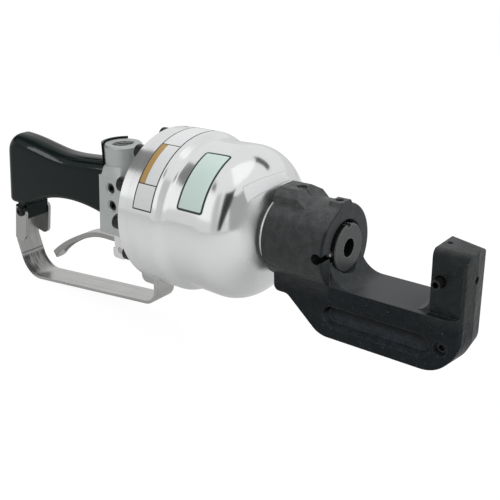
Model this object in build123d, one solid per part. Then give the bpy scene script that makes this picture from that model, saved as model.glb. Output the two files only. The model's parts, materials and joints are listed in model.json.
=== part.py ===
# Hydraulic crimping tool: a hand-held double-acting cylinder that closes a ram on a C-shaped head.
# Millimetres. The origin is the centre of the ram's face, retracted.
# +X runs along the ram towards the anvil, +Z is up, and the trigger and its guard hang below the grip.
import math
import os

from build123d import *

os.makedirs("parts", exist_ok=True)

# Fits, as gaps on the radius or between faces
RUNNING_FIT = 0.06
SEAT_FIT = 0.03
BODY_GAP = 0.3
SCREW_HOLE_GAP = 0.3

# Ram, its die socket and its keyway
RAM_D = 38.0
RAM_STROKE = 42.0
RAM_NOSE = 3.0
RAM_EDGE = 0.8
DIE_SOCKET_D = 15.0
DIE_SOCKET_DEPTH = 22.0
KEYWAY_WIDTH = 5.0
KEYWAY_DEPTH = 2.5
DIE_LOCK_PIN_D = 4.0
DIE_LOCK_PIN_X = -5.0
DIE_LOCK_PIN_PROUD = 2.2

# Head: collar round the ram, spine below the throat, anvil in front
COLLAR_D = 68.0
COLLAR_LEN = 55.0
HEAD_BORE_GAP = 0.5
THROAT_LEN = 76.0
THROAT_DEPTH = 25.0
THROAT_CORNER = 10.0
THROAT_HEEL = 21.0
SPINE_HEIGHT = 45.5
SPINE_WIDTH = 44.0
SPINE_HEEL_RISE = 27.0
SPINE_HEEL_RUN = 30.0
SPINE_FRONT_CORNER = 28.0
ANVIL_THICK = 26.2
ANVIL_WIDTH = 33.0
ANVIL_TOP = 24.0
ANVIL_HOLE_D = 6.0
ANVIL_HOLE_DEPTH = 8.0
SPINE_HEEL_SETBACK = 15.0
SPINE_HEEL_CORNER = 22.0
FORGING_DRAFT_DEG = 6.0
SPINE_PLAN_CORNER = 14.0
ANVIL_TOP_FALL = 3.5
ANVIL_ROUND_INNER = 4.0
ANVIL_ROUND_OUTER = 11.0
ANVIL_LIP = 1.5
POCKET_LEN = 90.0
POCKET_HEIGHT = 18.0
POCKET_DEPTH = 6.0
POCKET_REAR_X = -9.0
POCKET_DROP = 25.0
POCKET_SLOPE_DEG = 25.0
SIDE_HOLE_D = 9.0
SIDE_HOLE_INSET = 13.5
SIDE_HOLE_SINK = 3.0
COLLAR_LUG_LEN = 29.5
COLLAR_LUG_WIDTH = 34.0
COLLAR_LUG_HEIGHT = 6.5
COLLAR_LUG_BEVEL = 5.0
COLLAR_LUG_SLOPE = 12.0
COLLAR_RIDGE_WIDTH = 18.0
COLLAR_RIDGE_HEIGHT = -1.5
COLLAR_RIM = 2.5
RAM_MOUTH = 2.5
KEY_BOSS_WIDTH = 24.0
KEY_BOSS_TOP_WIDTH = 12.0
KEY_BOSS_HEIGHT = 2.2
KEY_BOSS_LEN = 11.0
KEY_SCREW_D = 6.0
KEY_SCREW_X = -9.0
KEY_SCREW_SINK = 2.0
SIDE_SLOT_WIDTH = 5.0
SIDE_SLOT_HOLE_D = 8.4
SIDE_SLOT_LEN = 4.5
HEAD_LOCK_SCREW_D = 8.0
HEAD_LOCK_SCREW_SINK = 1.5
ANVIL_SOCKET_DEPTH = 14.0
ANVIL_PIN_D = 7.0
ANVIL_PIN_WALL = 1.2
ANVIL_PIN_PROUD = 7.5
ANVIL_PIN_INSET = 6.8
ANVIL_PIN_RECESS_D = 9.0
ANVIL_PIN_RECESS = 3.0
ANVIL_LOCK_SCREW_D = 4.0
ANVIL_LOCK_SCREW_INSET = 4.5
ANVIL_LOCK_SCREW_SINK = 2.0

# Housing: bore, barrels, dome and threaded neck
HOUSING_LEN = 111.0
HOUSING_REAR_D = 138.0
HOUSING_STEP = 4.5
WAIST_DEPTH = 0.7
REAR_BARREL_LEN = 27.0
WAIST_STEP_LEN = 14.0
FRONT_BARREL_LEN = 29.5
DOME_LEN = 42.0
SHOULDER_D = 60.0
HEAD_SEAM = 1.0
NECK_D = 56.0
NECK_LEN = 25.0
NECK_BORE_GAP = 1.0
CYLINDER_WALL = 17.0
CHAMBER_LEN = 76.0
OIL_HOLE_D = 5.0
CROSS_HOLE_D = 4.0
OIL_HOLE_EDGE = 10.0
OIL_HOLE_ANGLE = 75.0

# Gland in the neck: wiper, seal and bushing, front to back
GLAND_BORE_D = 46.0
WIPER_LEN = 6.0
ROD_SEAL_LEN = 6.0
BUSHING_LEN = 19.0
GLAND_FRONT_SETBACK = 2.0
GLAND_STEP = 1.0

# Piston on the ram's rear end
PISTON_LEN = 24.0
PISTON_SPIGOT_D = 24.0
PISTON_NUT_FLATS = 36.0
PISTON_NUT_LEN = 9.0
PISTON_NUT_POCKET_DEPTH = 10.0
PISTON_NUT_POCKET_D = 44.0
PISTON_SEAL_LEN = 6.0
PISTON_SEAL_DEPTH = 5.0
WEAR_RING_LEN = 4.5
WEAR_RING_DEPTH = 2.0
WEAR_RING_INSET = 2.5
SPIGOT_SEAL_LEN = 3.0
SPIGOT_SEAL_DEPTH = 2.2
SPIGOT_SEAL_INSET = 4.0

# Rear end cap and its screws
CAP_STEP = 0.5
CAP_THICK = 11.0
CAP_EDGE = 1.5
CAP_SEAM = 0.6
CAP_SPIGOT_LEN = 6.0
PISTON_REAR_GAP = 1.0
CAP_SEAL_SECTION = 3.0
CAP_SCREW_COUNT = 12
CAP_SCREW_EDGE = 7.5
CAP_SCREW_D = 8.0
CAP_SCREW_LEN = 26.0
PASSAGE_D = 6.0
PASSAGE_PLUG_D = 8.0
PASSAGE_PLUG_LEN = 6.0

# Valve block with its port boss, guard leg and trigger lug
BLOCK_LEN = 81.2
BLOCK_WIDTH = 40.0
BLOCK_TOP = 18.6
BLOCK_BOTTOM = -38.0
BLOCK_LEAN = 6.2
BLOCK_EDGE = 1.5
BOSS_D = 35.0
BOSS_TOP = 46.0
BOSS_SETBACK = 20.7
BOSS_EDGE = 1.5
BOSS_FOOT = 9.5
BOSS_LEDGE = 0.7
PORT_D = 19.0
PORT_DEPTH = 18.0
PORT_MOUTH = 1.2
GALLERY_D = 8.0
RETURN_PORT_DEPTH = 14.0
RETURN_PORT_Z = -16.0
RETURN_PORT_AHEAD = 20.0
PRESSURE_FEED_Z = -6.0
RETRACT_FEED_R = 10.0
SIDE_PLUG_D = 9.0
SIDE_PLUG_LEN = 8.0
SIDE_PLUG_SINK = 1.5
SIDE_PLUG_Z = (7.5, -9.1)
FACE_SEAL_SECTION = 2.4
FACE_SEAL_R = 7.0
BLOCK_SCREW_D = 6.0
BLOCK_SCREW_LEN = 22.0
BLOCK_SCREW_Y = 15.0
BLOCK_SCREW_Z = (11.0, -30.0)
LEG_LEN = 14.8
LEG_WIDTH = 24.0
LEG_FRONT_SETBACK = 21.5
LEG_BOTTOM = -80.5
LEG_CORNER = 6.0
TANG_WIDTH = 14.0
TANG_TOP = 16.0
TANG_BOTTOM = -10.0
TANG_COVER = 3.5

# Spool valve
SPOOL_D = 14.0
SPOOL_ARM = 18.0
SPOOL_STEM_D = 8.0
SPOOL_TOP = 14.0
SPOOL_LEN = 27.0
SPOOL_WAIST_D = 9.0
SPOOL_WAIST_LEN = 7.0
SPOOL_SEAL_SECTION = 1.8
SPOOL_SEAL_INSET = 3.0
SPOOL_COLLAR_D = 13.0
SPOOL_COLLAR_LEN = 2.0
SPOOL_END_THREAD_D = 5.0
GLAND_NUT_D = 16.0
GLAND_NUT_FLATS = 14.0
GLAND_NUT_LEN = 10.0
GLAND_NUT_FLANGE_LEN = 4.0
SPRING_WIRE_D = 1.2
SPRING_TURNS = 4

# Trigger lever, its pin and the ears that hold it
PIVOT_Z = -56.0
PIVOT_SETBACK = 18.2
PIVOT_PIN_D = 6.0
EAR_FRONT = 9.0
EAR_NECK = 7.0
EAR_FOOT = 10.0
EAR_LEDGE_Z = -55.0
EAR_BOTTOM = -65.0
EAR_CORNER = 3.5
EAR_THICK = 5.0
EAR_SIDE_GAP = 0.4
LEVER_WIDTH = 14.0
LEVER_WALL = 2.4
LEVER_CROWN_DEPTH = 4.8
LEVER_DEPTH = 6.0
LEVER_TAIL_DEPTH = 5.8
LEVER_CROWN_BACK = 26.0
LEVER_CROWN_Z = -47.0
LEVER_MID_BACK = 68.0
LEVER_MID_Z = -58.0
LEVER_TAIL_BACK = 113.3
LEVER_TAIL_Z = -86.9
LEVER_HUB_D = 13.0
LEVER_PRONG_THICK = 2.5
LEVER_PRONG_WIDTH = 2.6
LEVER_PAD_D = 5.2
LEVER_PAD_GAP = 0.25
TRIGGER_RANGE_DEG = 16.0

# Grip moulded over the block's tang
GRIP_WIDTH = 29.0
GRIP_TOP_EDGE = 12.0
GRIP_LOW_EDGE = 5.0
GRIP_LEN = 152.8
GRIP_HUMP_TOP = 35.8
GRIP_SADDLE_TOP = 26.9
GRIP_ARCH_BOTTOM = -19.7
GRIP_REAR_BOTTOM = -39.0
GRIP_REAR_LEAN = 7.0
GRIP_HUMP_LEN = 20.0
GRIP_HUMP_CORNER = 18.0
SLEEVE_WALL = 2.0
SLEEVE_TOP = 47.5
SLEEVE_REACH = 7.0
STUB_WIDTH = 26.6
STUB_TILT_DEG = 12.0
STUB_SETBACK = 24.0
STUB_REAR = -5.0
STUB_FRONT = 9.2
STUB_DEPTH = 14.0

# Guard strap
STRAP_THICK = 3.0
STRAP_WIDTH = 27.0
STRAP_FRONT_WIDTH = 24.0
STRAP_LOW_Z = -120.2
STRAP_LOW_X = -394.5
STRAP_RISE_DEG = 5.7
STRAP_HEEL_BEND = 14.0
STRAP_REAR_BEND = 24.0
STRAP_FRONT_BEND = 16.0
STRAP_TOP_Z = -46.0
STRAP_EAR_LEN = 19.0
STRAP_EAR_DEPTH = 40.0
STRAP_EAR_DROP = 2.5
STRAP_EAR_CORNER = 9.0
STRAP_EAR_BEND = 4.0
GUARD_SCREW_D = 6.0
GUARD_SCREW_AHEAD = 3.4
GUARD_SCREW_DEPTH = 5.5
GUARD_SCREW_HEAD_D = 10.5
GUARD_SCREW_HEAD_LEN = 3.3
GUARD_FRONT_SCREW_Z = -60.0
GUARD_FRONT_SCREW_LEN = 14.0

# Diameters that follow the housing's
HOUSING_FRONT_D = HOUSING_REAR_D - HOUSING_STEP * 2
CYLINDER_BORE_D = HOUSING_REAR_D - CYLINDER_WALL * 2
CAP_D = HOUSING_REAR_D - CAP_STEP * 2
CAP_SCREW_CIRCLE_R = CAP_D / 2 - CAP_SCREW_EDGE
OIL_HOLE_R = CAP_D / 2 - OIL_HOLE_EDGE

# Stations along X, worked out from the sizes above
HEAD_FRONT = -RAM_NOSE
COLLAR_REAR = HEAD_FRONT - COLLAR_LEN
SHOULDER_FRONT = COLLAR_REAR - HEAD_SEAM
NECK_FRONT = SHOULDER_FRONT + NECK_LEN
HOUSING_REAR = SHOULDER_FRONT - HOUSING_LEN
CHAMBER_FRONT = HOUSING_REAR + CHAMBER_LEN
CAP_REAR = HOUSING_REAR - CAP_THICK
CAP_INNER = HOUSING_REAR + CAP_SPIGOT_LEN
PISTON_REAR = CAP_INNER + PISTON_REAR_GAP
PISTON_FRONT = PISTON_REAR + PISTON_LEN
BLOCK_REAR = CAP_REAR - BLOCK_LEN
BOSS_X = BLOCK_REAR + BOSS_SETBACK
PIVOT_X = BLOCK_REAR + PIVOT_SETBACK
SPOOL_X = PIVOT_X + SPOOL_ARM
RETURN_PORT_X = SPOOL_X + RETURN_PORT_AHEAD
LEG_FRONT = CAP_REAR - LEG_FRONT_SETBACK
LEG_REAR = LEG_FRONT - LEG_LEN
GRIP_REAR = BLOCK_REAR - GRIP_LEN
ANVIL_INNER = THROAT_LEN
ANVIL_OUTER = ANVIL_INNER + ANVIL_THICK
FLOOR_Z = -THROAT_DEPTH
SPINE_BOTTOM = FLOOR_Z - SPINE_HEIGHT

# Radii and half widths used again and again
RAM_R = RAM_D / 2
COLLAR_R = COLLAR_D / 2
BORE_R = CYLINDER_BORE_D / 2
SPOOL_R = SPOOL_D / 2
SPINE_HALF = SPINE_WIDTH / 2
ANVIL_HALF = ANVIL_WIDTH / 2
BLOCK_HALF = BLOCK_WIDTH / 2
EAR_INNER = LEVER_WIDTH / 2 + EAR_SIDE_GAP
EAR_OUTER = EAR_INNER + EAR_THICK
STUB_HALF = STUB_WIDTH / 2
STRAP_EAR_OUTER = STUB_HALF + STRAP_THICK


# Shape helpers
def rod(axis, start, end, radius, at=(0, 0)):
    """A cylinder along X, Y or Z; at is its place on the other two axes, in XYZ order."""
    middle = (start + end) / 2
    turn, place = {
        "X": (Rotation(0, 90, 0), (middle, at[0], at[1])),
        "Y": (Rotation(90, 0, 0), (at[0], middle, at[1])),
        "Z": (Rotation(0, 0, 0), (at[0], at[1], middle)),
    }[axis]
    return Pos(*place) * turn * Cylinder(radius, abs(end - start))


def ring(axis, start, end, outer, inner, at=(0, 0)):
    return rod(axis, start, end, outer, at) - rod(axis, start, end, inner, at)


def cone(axis, start, end, start_radius, end_radius, at=(0, 0)):
    """A cone frustum along +X, +Y or +Z from start to end."""
    middle = (start + end) / 2
    turn, place = {
        "X": (Rotation(0, 90, 0), (middle, at[0], at[1])),
        "Y": (Rotation(-90, 0, 0), (at[0], middle, at[1])),
        "Z": (Rotation(0, 0, 0), (at[0], at[1], middle)),
    }[axis]
    return Pos(*place) * turn * Cone(start_radius, end_radius, end - start)


def block(x0, x1, y0, y1, z0, z1):
    return Pos((x0 + x1) / 2, (y0 + y1) / 2, (z0 + z1) / 2) * Box(x1 - x0, y1 - y0, z1 - z0)


def plate(points, radii, half_width):
    """A flat plate about the tool's middle plane, from its outline in X and Z."""
    outline = make_face(FilletPolyline(*points, radius=radii, close=True))
    return extrude(Plane.XZ * outline, amount=half_width, both=True)


def hex_prism(axis, start, end, flats, at=(0, 0)):
    middle = (start + end) / 2
    turn, place = {
        "X": (Rotation(0, 90, 0), (middle, at[0], at[1])),
        "Y": (Rotation(90, 0, 0), (at[0], middle, at[1])),
        "Z": (Rotation(0, 0, 0), (at[0], at[1], middle)),
    }[axis]
    face = RegularPolygon(flats / 2, 6, major_radius=False)
    return Pos(*place) * turn * extrude(face, amount=abs(end - start) / 2, both=True)


def polar(radius, degrees):
    """Y and Z of a point on a circle about the ram's axis; 90 degrees is up."""
    return radius * math.cos(math.radians(degrees)), radius * math.sin(math.radians(degrees))


def save(shape, name):
    export_step(shape, f"parts/{name}.step")


def save_group(shapes, name):
    export_step(Compound(children=list(shapes)), f"parts/{name}.step")


# Set screw with a hex socket, along Z, top face up
def set_screw_z(x, top, bottom, diameter):
    body = rod("Z", bottom, top, diameter / 2, (x, 0))
    socket_depth = min(diameter / 2, (top - bottom) / 2)
    return body - hex_prism("Z", top - socket_depth, top + 1, diameter / 2, (x, 0))


# Head
def head_blank():
    """The forging's outer shape, drafted to each side of its parting line, with the throat cut through."""
    heel_x = COLLAR_REAR + SPINE_HEEL_SETBACK
    heel_z = SPINE_BOTTOM + SPINE_HEEL_RISE
    rear = COLLAR_REAR + HEAD_SEAM
    roof = ANVIL_TOP + ANVIL_THICK
    outline = FilletPolyline(
        (rear, roof), (ANVIL_OUTER, roof), (ANVIL_OUTER, SPINE_BOTTOM),
        (heel_x + SPINE_HEEL_RUN, SPINE_BOTTOM), (heel_x, heel_z), (rear, heel_z),
        radius=[0, 0, SPINE_FRONT_CORNER, SPINE_HEEL_CORNER, THROAT_CORNER / 2, THROAT_CORNER * 0.7],
        close=True)
    blank = extrude(Plane.XZ * make_face(outline), amount=SPINE_HALF, both=True, taper=FORGING_DRAFT_DEG)
    plan = FilletPolyline(
        (rear - 1, -SPINE_HALF), (ANVIL_OUTER, -SPINE_HALF),
        (ANVIL_OUTER, SPINE_HALF), (rear - 1, SPINE_HALF),
        radius=[0, SPINE_PLAN_CORNER, SPINE_PLAN_CORNER, 0], close=True)
    blank &= extrude(Plane.XY.offset(SPINE_BOTTOM - 1) * make_face(plan), amount=roof - SPINE_BOTTOM + 2)
    throat = plate(
        [(HEAD_FRONT, roof * 2), (HEAD_FRONT, FLOOR_Z), (ANVIL_INNER, FLOOR_Z), (ANVIL_INNER, roof * 2)],
        [0, THROAT_HEEL, THROAT_CORNER, 0], SPINE_WIDTH)
    above_collar = block(rear - 1, HEAD_FRONT + 1, -SPINE_WIDTH, SPINE_WIDTH, 0, roof * 2)
    return blank - throat - above_collar


def collar_lug():
    rear = COLLAR_REAR
    front = rear + COLLAR_LUG_LEN
    half = COLLAR_LUG_WIDTH / 2
    top = COLLAR_R + COLLAR_LUG_HEIGHT
    top_half = half - COLLAR_LUG_BEVEL * 1.6
    section = make_face(Polyline(
        (-half, 0), (half, 0), (half, top - COLLAR_LUG_BEVEL), (top_half, top),
        (-top_half, top), (-half, top - COLLAR_LUG_BEVEL), close=True))
    lug = extrude(Plane.YZ.offset(rear) * section, amount=COLLAR_LUG_LEN)
    side_view = plate(
        [(rear, 0), (front, 0), (front, COLLAR_R - COLLAR_LUG_BEVEL),
         (front - COLLAR_LUG_SLOPE, top), (rear, top)],
        0, half + 1)
    ridge_half = COLLAR_RIDGE_WIDTH / 2
    ridge_top = COLLAR_R + COLLAR_RIDGE_HEIGHT
    ridge = block(rear, HEAD_FRONT - KEY_BOSS_LEN / 2, -ridge_half, ridge_half, 0, ridge_top)
    return (lug & side_view) + ridge


def key_boss():
    half = KEY_BOSS_WIDTH / 2
    top_half = KEY_BOSS_TOP_WIDTH / 2
    top = COLLAR_R + KEY_BOSS_HEIGHT
    section = make_face(Polyline(
        (-half, 0), (half, 0), (half, top - half * 0.7), (top_half, top),
        (-top_half, top), (-half, top - half * 0.7), close=True))
    return extrude(Plane.YZ.offset(HEAD_FRONT - KEY_BOSS_LEN) * section, amount=KEY_BOSS_LEN)


def anvil_section(x, top, corner):
    """The anvil's cross section at one station, round at its top corners."""
    half = ANVIL_HALF
    outline = FilletPolyline(
        (-half, FLOOR_Z - 1), (half, FLOOR_Z - 1), (half, top), (-half, top),
        radius=[0, 0, corner, corner], close=True)
    return Plane.YZ.offset(x) * make_face(outline)


def anvil_trim():
    """What is machined off round the anvil, and off the inner edge of its top."""
    rear = ANVIL_INNER - THROAT_CORNER
    front = ANVIL_OUTER + 1
    keep = loft([
        anvil_section(rear, ANVIL_TOP, ANVIL_ROUND_INNER),
        anvil_section(front, ANVIL_TOP - ANVIL_TOP_FALL, ANVIL_ROUND_OUTER)], ruled=True)
    trim = block(rear, front, -SPINE_WIDTH, SPINE_WIDTH, FLOOR_Z, ANVIL_TOP * 3) - keep
    lip_z = ANVIL_TOP - ANVIL_LIP
    lip = plate(
        [(rear, lip_z - 1), (ANVIL_INNER - 1, lip_z - 1), (ANVIL_INNER + ANVIL_LIP + 1, ANVIL_TOP + 1),
         (rear, ANVIL_TOP + 1)], 0, SPINE_WIDTH)
    return trim + lip


def side_pocket():
    """The long oval relief in the spine's near side, with sloping walls."""
    lead = 1.0
    spread = lead * math.tan(math.radians(POCKET_SLOPE_DEG)) * 2
    middle = (POCKET_REAR_X + POCKET_LEN / 2, -SPINE_HALF - lead, FLOOR_Z - POCKET_DROP)
    mouth = Plane(middle, x_dir=(1, 0, 0), z_dir=(0, 1, 0))
    slot = SlotOverall(POCKET_LEN + spread, POCKET_HEIGHT + spread)
    return extrude(mouth * slot, amount=POCKET_DEPTH + lead, taper=POCKET_SLOPE_DEG)


def c_head():
    head = head_blank() - anvil_trim()
    collar = rod("X", COLLAR_REAR, HEAD_FRONT, COLLAR_R)
    head += fillet(collar.edges().filter_by(GeomType.CIRCLE).sort_by(Axis.X)[-1], COLLAR_RIM)
    head += collar_lug() + key_boss()
    neck_seat = NECK_FRONT + GLAND_STEP
    head -= rod("X", COLLAR_REAR - 1, neck_seat, NECK_D / 2 + SEAT_FIT)
    bore_r = RAM_R + HEAD_BORE_GAP
    head -= rod("X", COLLAR_REAR - 1, HEAD_FRONT + THROAT_HEEL + 1, bore_r)
    head -= cone("X", HEAD_FRONT - RAM_MOUTH, HEAD_FRONT + 0.1, bore_r, bore_r + RAM_MOUTH)
    pocket = side_pocket()
    head -= pocket + mirror(pocket, Plane.XZ)
    # Keyhole slot in the near wall that the die lock pin slides out of
    slot_rear = HEAD_FRONT - SIDE_SLOT_LEN
    head -= rod("Y", -COLLAR_D, -RAM_R / 2, SIDE_SLOT_HOLE_D / 2, (slot_rear, 0))
    head -= block(slot_rear, HEAD_FRONT + 1, -COLLAR_D, -RAM_R / 2, -SIDE_SLOT_WIDTH / 2, SIDE_SLOT_WIDTH / 2)
    # Screw holes: key screw, head lock screw, anvil lock screw and the plug in the lower corner
    head -= rod("Z", RAM_R - 1, COLLAR_D, KEY_SCREW_D / 2 + SEAT_FIT, (KEY_SCREW_X, 0))
    head -= rod("Z", NECK_D / 2 - 1, COLLAR_D, HEAD_LOCK_SCREW_D / 2 + SEAT_FIT, (head_lock_x(), 0))
    head -= rod("Z", 0, ANVIL_TOP + 1, ANVIL_LOCK_SCREW_D / 2 + SEAT_FIT, (anvil_lock_x(), 0))
    # Die socket in the anvil, the blind hole in its outer face, and the hole of the die pin in its near side
    head -= rod("X", ANVIL_INNER - 1, ANVIL_INNER + ANVIL_SOCKET_DEPTH, DIE_SOCKET_D / 2)
    head -= rod("X", ANVIL_OUTER - ANVIL_HOLE_DEPTH, ANVIL_OUTER + 1, ANVIL_HOLE_D / 2)
    head -= rod("Y", -SPINE_WIDTH, 0, ANVIL_PIN_D / 2 + RUNNING_FIT, (anvil_pin_x(), 0))
    head -= rod("Y", -SPINE_WIDTH, ANVIL_PIN_RECESS - ANVIL_HALF, ANVIL_PIN_RECESS_D / 2, (anvil_pin_x(), 0))
    head -= rod("Y", -SPINE_WIDTH, SPINE_WIDTH, SIDE_HOLE_D / 2 + SEAT_FIT, side_hole_place())
    for side in (-1, 1):
        mouth = cone("Y", SPINE_HALF - SIDE_HOLE_SINK / 2, SPINE_HALF + 0.1, SIDE_HOLE_D / 2,
                     SIDE_HOLE_D / 2 + SIDE_HOLE_SINK / 2, side_hole_place())
        head -= mouth if side > 0 else mirror(mouth, Plane.XZ)
    return head


def head_lock_x():
    return COLLAR_REAR + COLLAR_LUG_LEN / 2


def anvil_lock_x():
    return ANVIL_INNER + ANVIL_LOCK_SCREW_INSET


def anvil_pin_x():
    return ANVIL_INNER + ANVIL_PIN_INSET


def side_hole_place():
    return ANVIL_OUTER - SIDE_HOLE_INSET, FLOOR_Z - THROAT_DEPTH + 2


def head_fasteners():
    lug_top = COLLAR_R + COLLAR_LUG_HEIGHT
    boss_top = COLLAR_R + KEY_BOSS_HEIGHT
    lock_top = lug_top - HEAD_LOCK_SCREW_SINK
    save(set_screw_z(head_lock_x(), lock_top, NECK_D / 2, HEAD_LOCK_SCREW_D), "head_lock_screw")
    key_tip = RAM_R - KEYWAY_DEPTH + BODY_GAP
    key = set_screw_z(KEY_SCREW_X, boss_top - KEY_SCREW_SINK, RAM_R + HEAD_BORE_GAP, KEY_SCREW_D)
    key += rod("Z", key_tip, RAM_R + HEAD_BORE_GAP, KEYWAY_WIDTH / 2 - BODY_GAP, (KEY_SCREW_X, 0))
    save(key, "ram_key_screw")
    anvil_screw_top = ANVIL_TOP - ANVIL_LOCK_SCREW_SINK
    anvil_screw = set_screw_z(anvil_lock_x(), anvil_screw_top, DIE_SOCKET_D / 2, ANVIL_LOCK_SCREW_D)
    save(anvil_screw, "anvil_lock_screw")
    save(anvil_die_pin(), "anvil_die_pin")
    plug_half = SPINE_HALF - SIDE_HOLE_SINK
    plug = rod("Y", -plug_half, plug_half, SIDE_HOLE_D / 2, side_hole_place())
    for side in (-1, 1):
        low, high = sorted((side * (plug_half - SIDE_HOLE_SINK), side * (plug_half + 1)))
        plug -= hex_prism("Y", low, high, SIDE_HOLE_D / 2, side_hole_place())
    save(plug, "head_side_plug")


def anvil_die_pin():
    """The plunger that holds the fixed die: hollow where it stands out, flush with the socket inside."""
    at = (anvil_pin_x(), 0)
    outer = -ANVIL_HALF - ANVIL_PIN_PROUD
    pin = rod("Y", outer, -DIE_SOCKET_D / 2, ANVIL_PIN_D / 2, at)
    pin -= rod("Y", outer - 1, -ANVIL_HALF + ANVIL_PIN_RECESS, ANVIL_PIN_D / 2 - ANVIL_PIN_WALL, at)
    return pin


# Ram and piston
def ram():
    body = rod("X", PISTON_FRONT, 0, RAM_R)
    body = chamfer(body.edges().filter_by(GeomType.CIRCLE).sort_by(Axis.X)[-1], RAM_EDGE)
    spigot_end = PISTON_REAR + PISTON_NUT_POCKET_DEPTH - PISTON_NUT_LEN
    body += rod("X", spigot_end, PISTON_FRONT, PISTON_SPIGOT_D / 2)
    body -= rod("X", -DIE_SOCKET_DEPTH, 1, DIE_SOCKET_D / 2)
    key_rear = KEY_SCREW_X - RAM_STROKE - KEYWAY_WIDTH
    body -= block(key_rear, 1, -KEYWAY_WIDTH / 2, KEYWAY_WIDTH / 2, RAM_R - KEYWAY_DEPTH, RAM_D)
    body -= rod("Y", -RAM_D, 0, DIE_LOCK_PIN_D / 2 + RUNNING_FIT, (DIE_LOCK_PIN_X, 0))
    return body


def die_lock_pin():
    inner = -DIE_SOCKET_D / 2
    outer = -RAM_R - DIE_LOCK_PIN_PROUD
    pin = rod("Y", outer, inner, DIE_LOCK_PIN_D / 2, (DIE_LOCK_PIN_X, 0))
    return chamfer(pin.edges().filter_by(GeomType.CIRCLE).sort_by(Axis.Y)[0], DIE_LOCK_PIN_D / 8)


def seal_middle():
    return (PISTON_REAR + PISTON_FRONT) / 2


def wear_ring_spans():
    rear = PISTON_REAR + WEAR_RING_INSET
    front = PISTON_FRONT - WEAR_RING_INSET - WEAR_RING_LEN
    return [(x, x + WEAR_RING_LEN) for x in (rear, front)]


def piston():
    body = rod("X", PISTON_REAR, PISTON_FRONT, BORE_R - RUNNING_FIT)
    body -= rod("X", PISTON_REAR - 1, PISTON_FRONT + 1, PISTON_SPIGOT_D / 2 + SEAT_FIT)
    body -= rod("X", PISTON_REAR - 1, PISTON_REAR + PISTON_NUT_POCKET_DEPTH, PISTON_NUT_POCKET_D / 2)
    half_seal = PISTON_SEAL_LEN / 2
    groove_rear, groove_front = seal_middle() - half_seal, seal_middle() + half_seal
    body -= ring("X", groove_rear, groove_front, BORE_R, BORE_R - PISTON_SEAL_DEPTH)
    for start, end in wear_ring_spans():
        body -= ring("X", start, end, BORE_R, BORE_R - WEAR_RING_DEPTH)
    start = PISTON_FRONT - SPIGOT_SEAL_INSET - SPIGOT_SEAL_LEN
    spigot_r = PISTON_SPIGOT_D / 2
    body -= rod("X", start, start + SPIGOT_SEAL_LEN, spigot_r + SPIGOT_SEAL_DEPTH)
    return body


def piston_pieces():
    save(ram(), "ram")
    save(die_lock_pin(), "die_lock_pin")
    save(piston(), "piston")
    half_seal = PISTON_SEAL_LEN / 2
    outer = BORE_R - RUNNING_FIT
    seal = ring("X", seal_middle() - half_seal, seal_middle() + half_seal, outer, BORE_R - PISTON_SEAL_DEPTH)
    save(seal, "piston_seal")
    rings = [ring("X", a, b, outer, BORE_R - WEAR_RING_DEPTH) for a, b in wear_ring_spans()]
    save_group(rings, "piston_wear_rings")
    spigot_r = PISTON_SPIGOT_D / 2
    start = PISTON_FRONT - SPIGOT_SEAL_INSET - SPIGOT_SEAL_LEN
    seal = ring("X", start, start + SPIGOT_SEAL_LEN, spigot_r + SPIGOT_SEAL_DEPTH, spigot_r + SEAT_FIT)
    save(seal, "piston_rod_seal")
    nut_front = PISTON_REAR + PISTON_NUT_POCKET_DEPTH
    nut = hex_prism("X", nut_front - PISTON_NUT_LEN, nut_front, PISTON_NUT_FLATS)
    save(nut - rod("X", nut_front - PISTON_LEN, nut_front + 1, spigot_r + SEAT_FIT), "piston_nut")


# Housing
def housing_profile():
    """Half section of the housing's outside, from the axis out and back, X along and radius up."""
    rear_r = HOUSING_REAR_D / 2
    front_r = HOUSING_FRONT_D / 2
    step_x = HOUSING_REAR + REAR_BARREL_LEN
    waist_x = step_x + WAIST_STEP_LEN
    dome_x = waist_x + FRONT_BARREL_LEN
    shoulder_r = SHOULDER_D / 2
    dome_end_angle = math.asin(shoulder_r / front_r)
    dome_end_x = dome_x + DOME_LEN * math.cos(dome_end_angle)
    waist_r = front_r - WAIST_DEPTH
    outline = Line((HOUSING_REAR, 0), (HOUSING_REAR, rear_r))
    outline += Line((HOUSING_REAR, rear_r), (step_x, rear_r))
    middle = ((step_x + waist_x) / 2, (rear_r + waist_r) / 2)
    outline += Spline((step_x, rear_r), middle, (waist_x, waist_r), tangents=((1, 0), (1, 0)))
    outline += Spline((waist_x, waist_r), (dome_x, front_r), tangents=((1, 0), (1, 0)))
    dome_start = math.degrees(dome_end_angle)
    outline += EllipticalCenterArc((dome_x, 0), DOME_LEN, front_r, dome_start, arc_size=90 - dome_start)
    outline += Line((dome_end_x, shoulder_r), (SHOULDER_FRONT, shoulder_r))
    outline += Line((SHOULDER_FRONT, shoulder_r), (SHOULDER_FRONT, NECK_D / 2))
    outline += Line((SHOULDER_FRONT, NECK_D / 2), (NECK_FRONT, NECK_D / 2))
    outline += Line((NECK_FRONT, NECK_D / 2), (NECK_FRONT, 0))
    outline += Line((NECK_FRONT, 0), (HOUSING_REAR, 0))
    return make_face(outline)


def gland_front():
    return SHOULDER_FRONT - GLAND_FRONT_SETBACK


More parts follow.
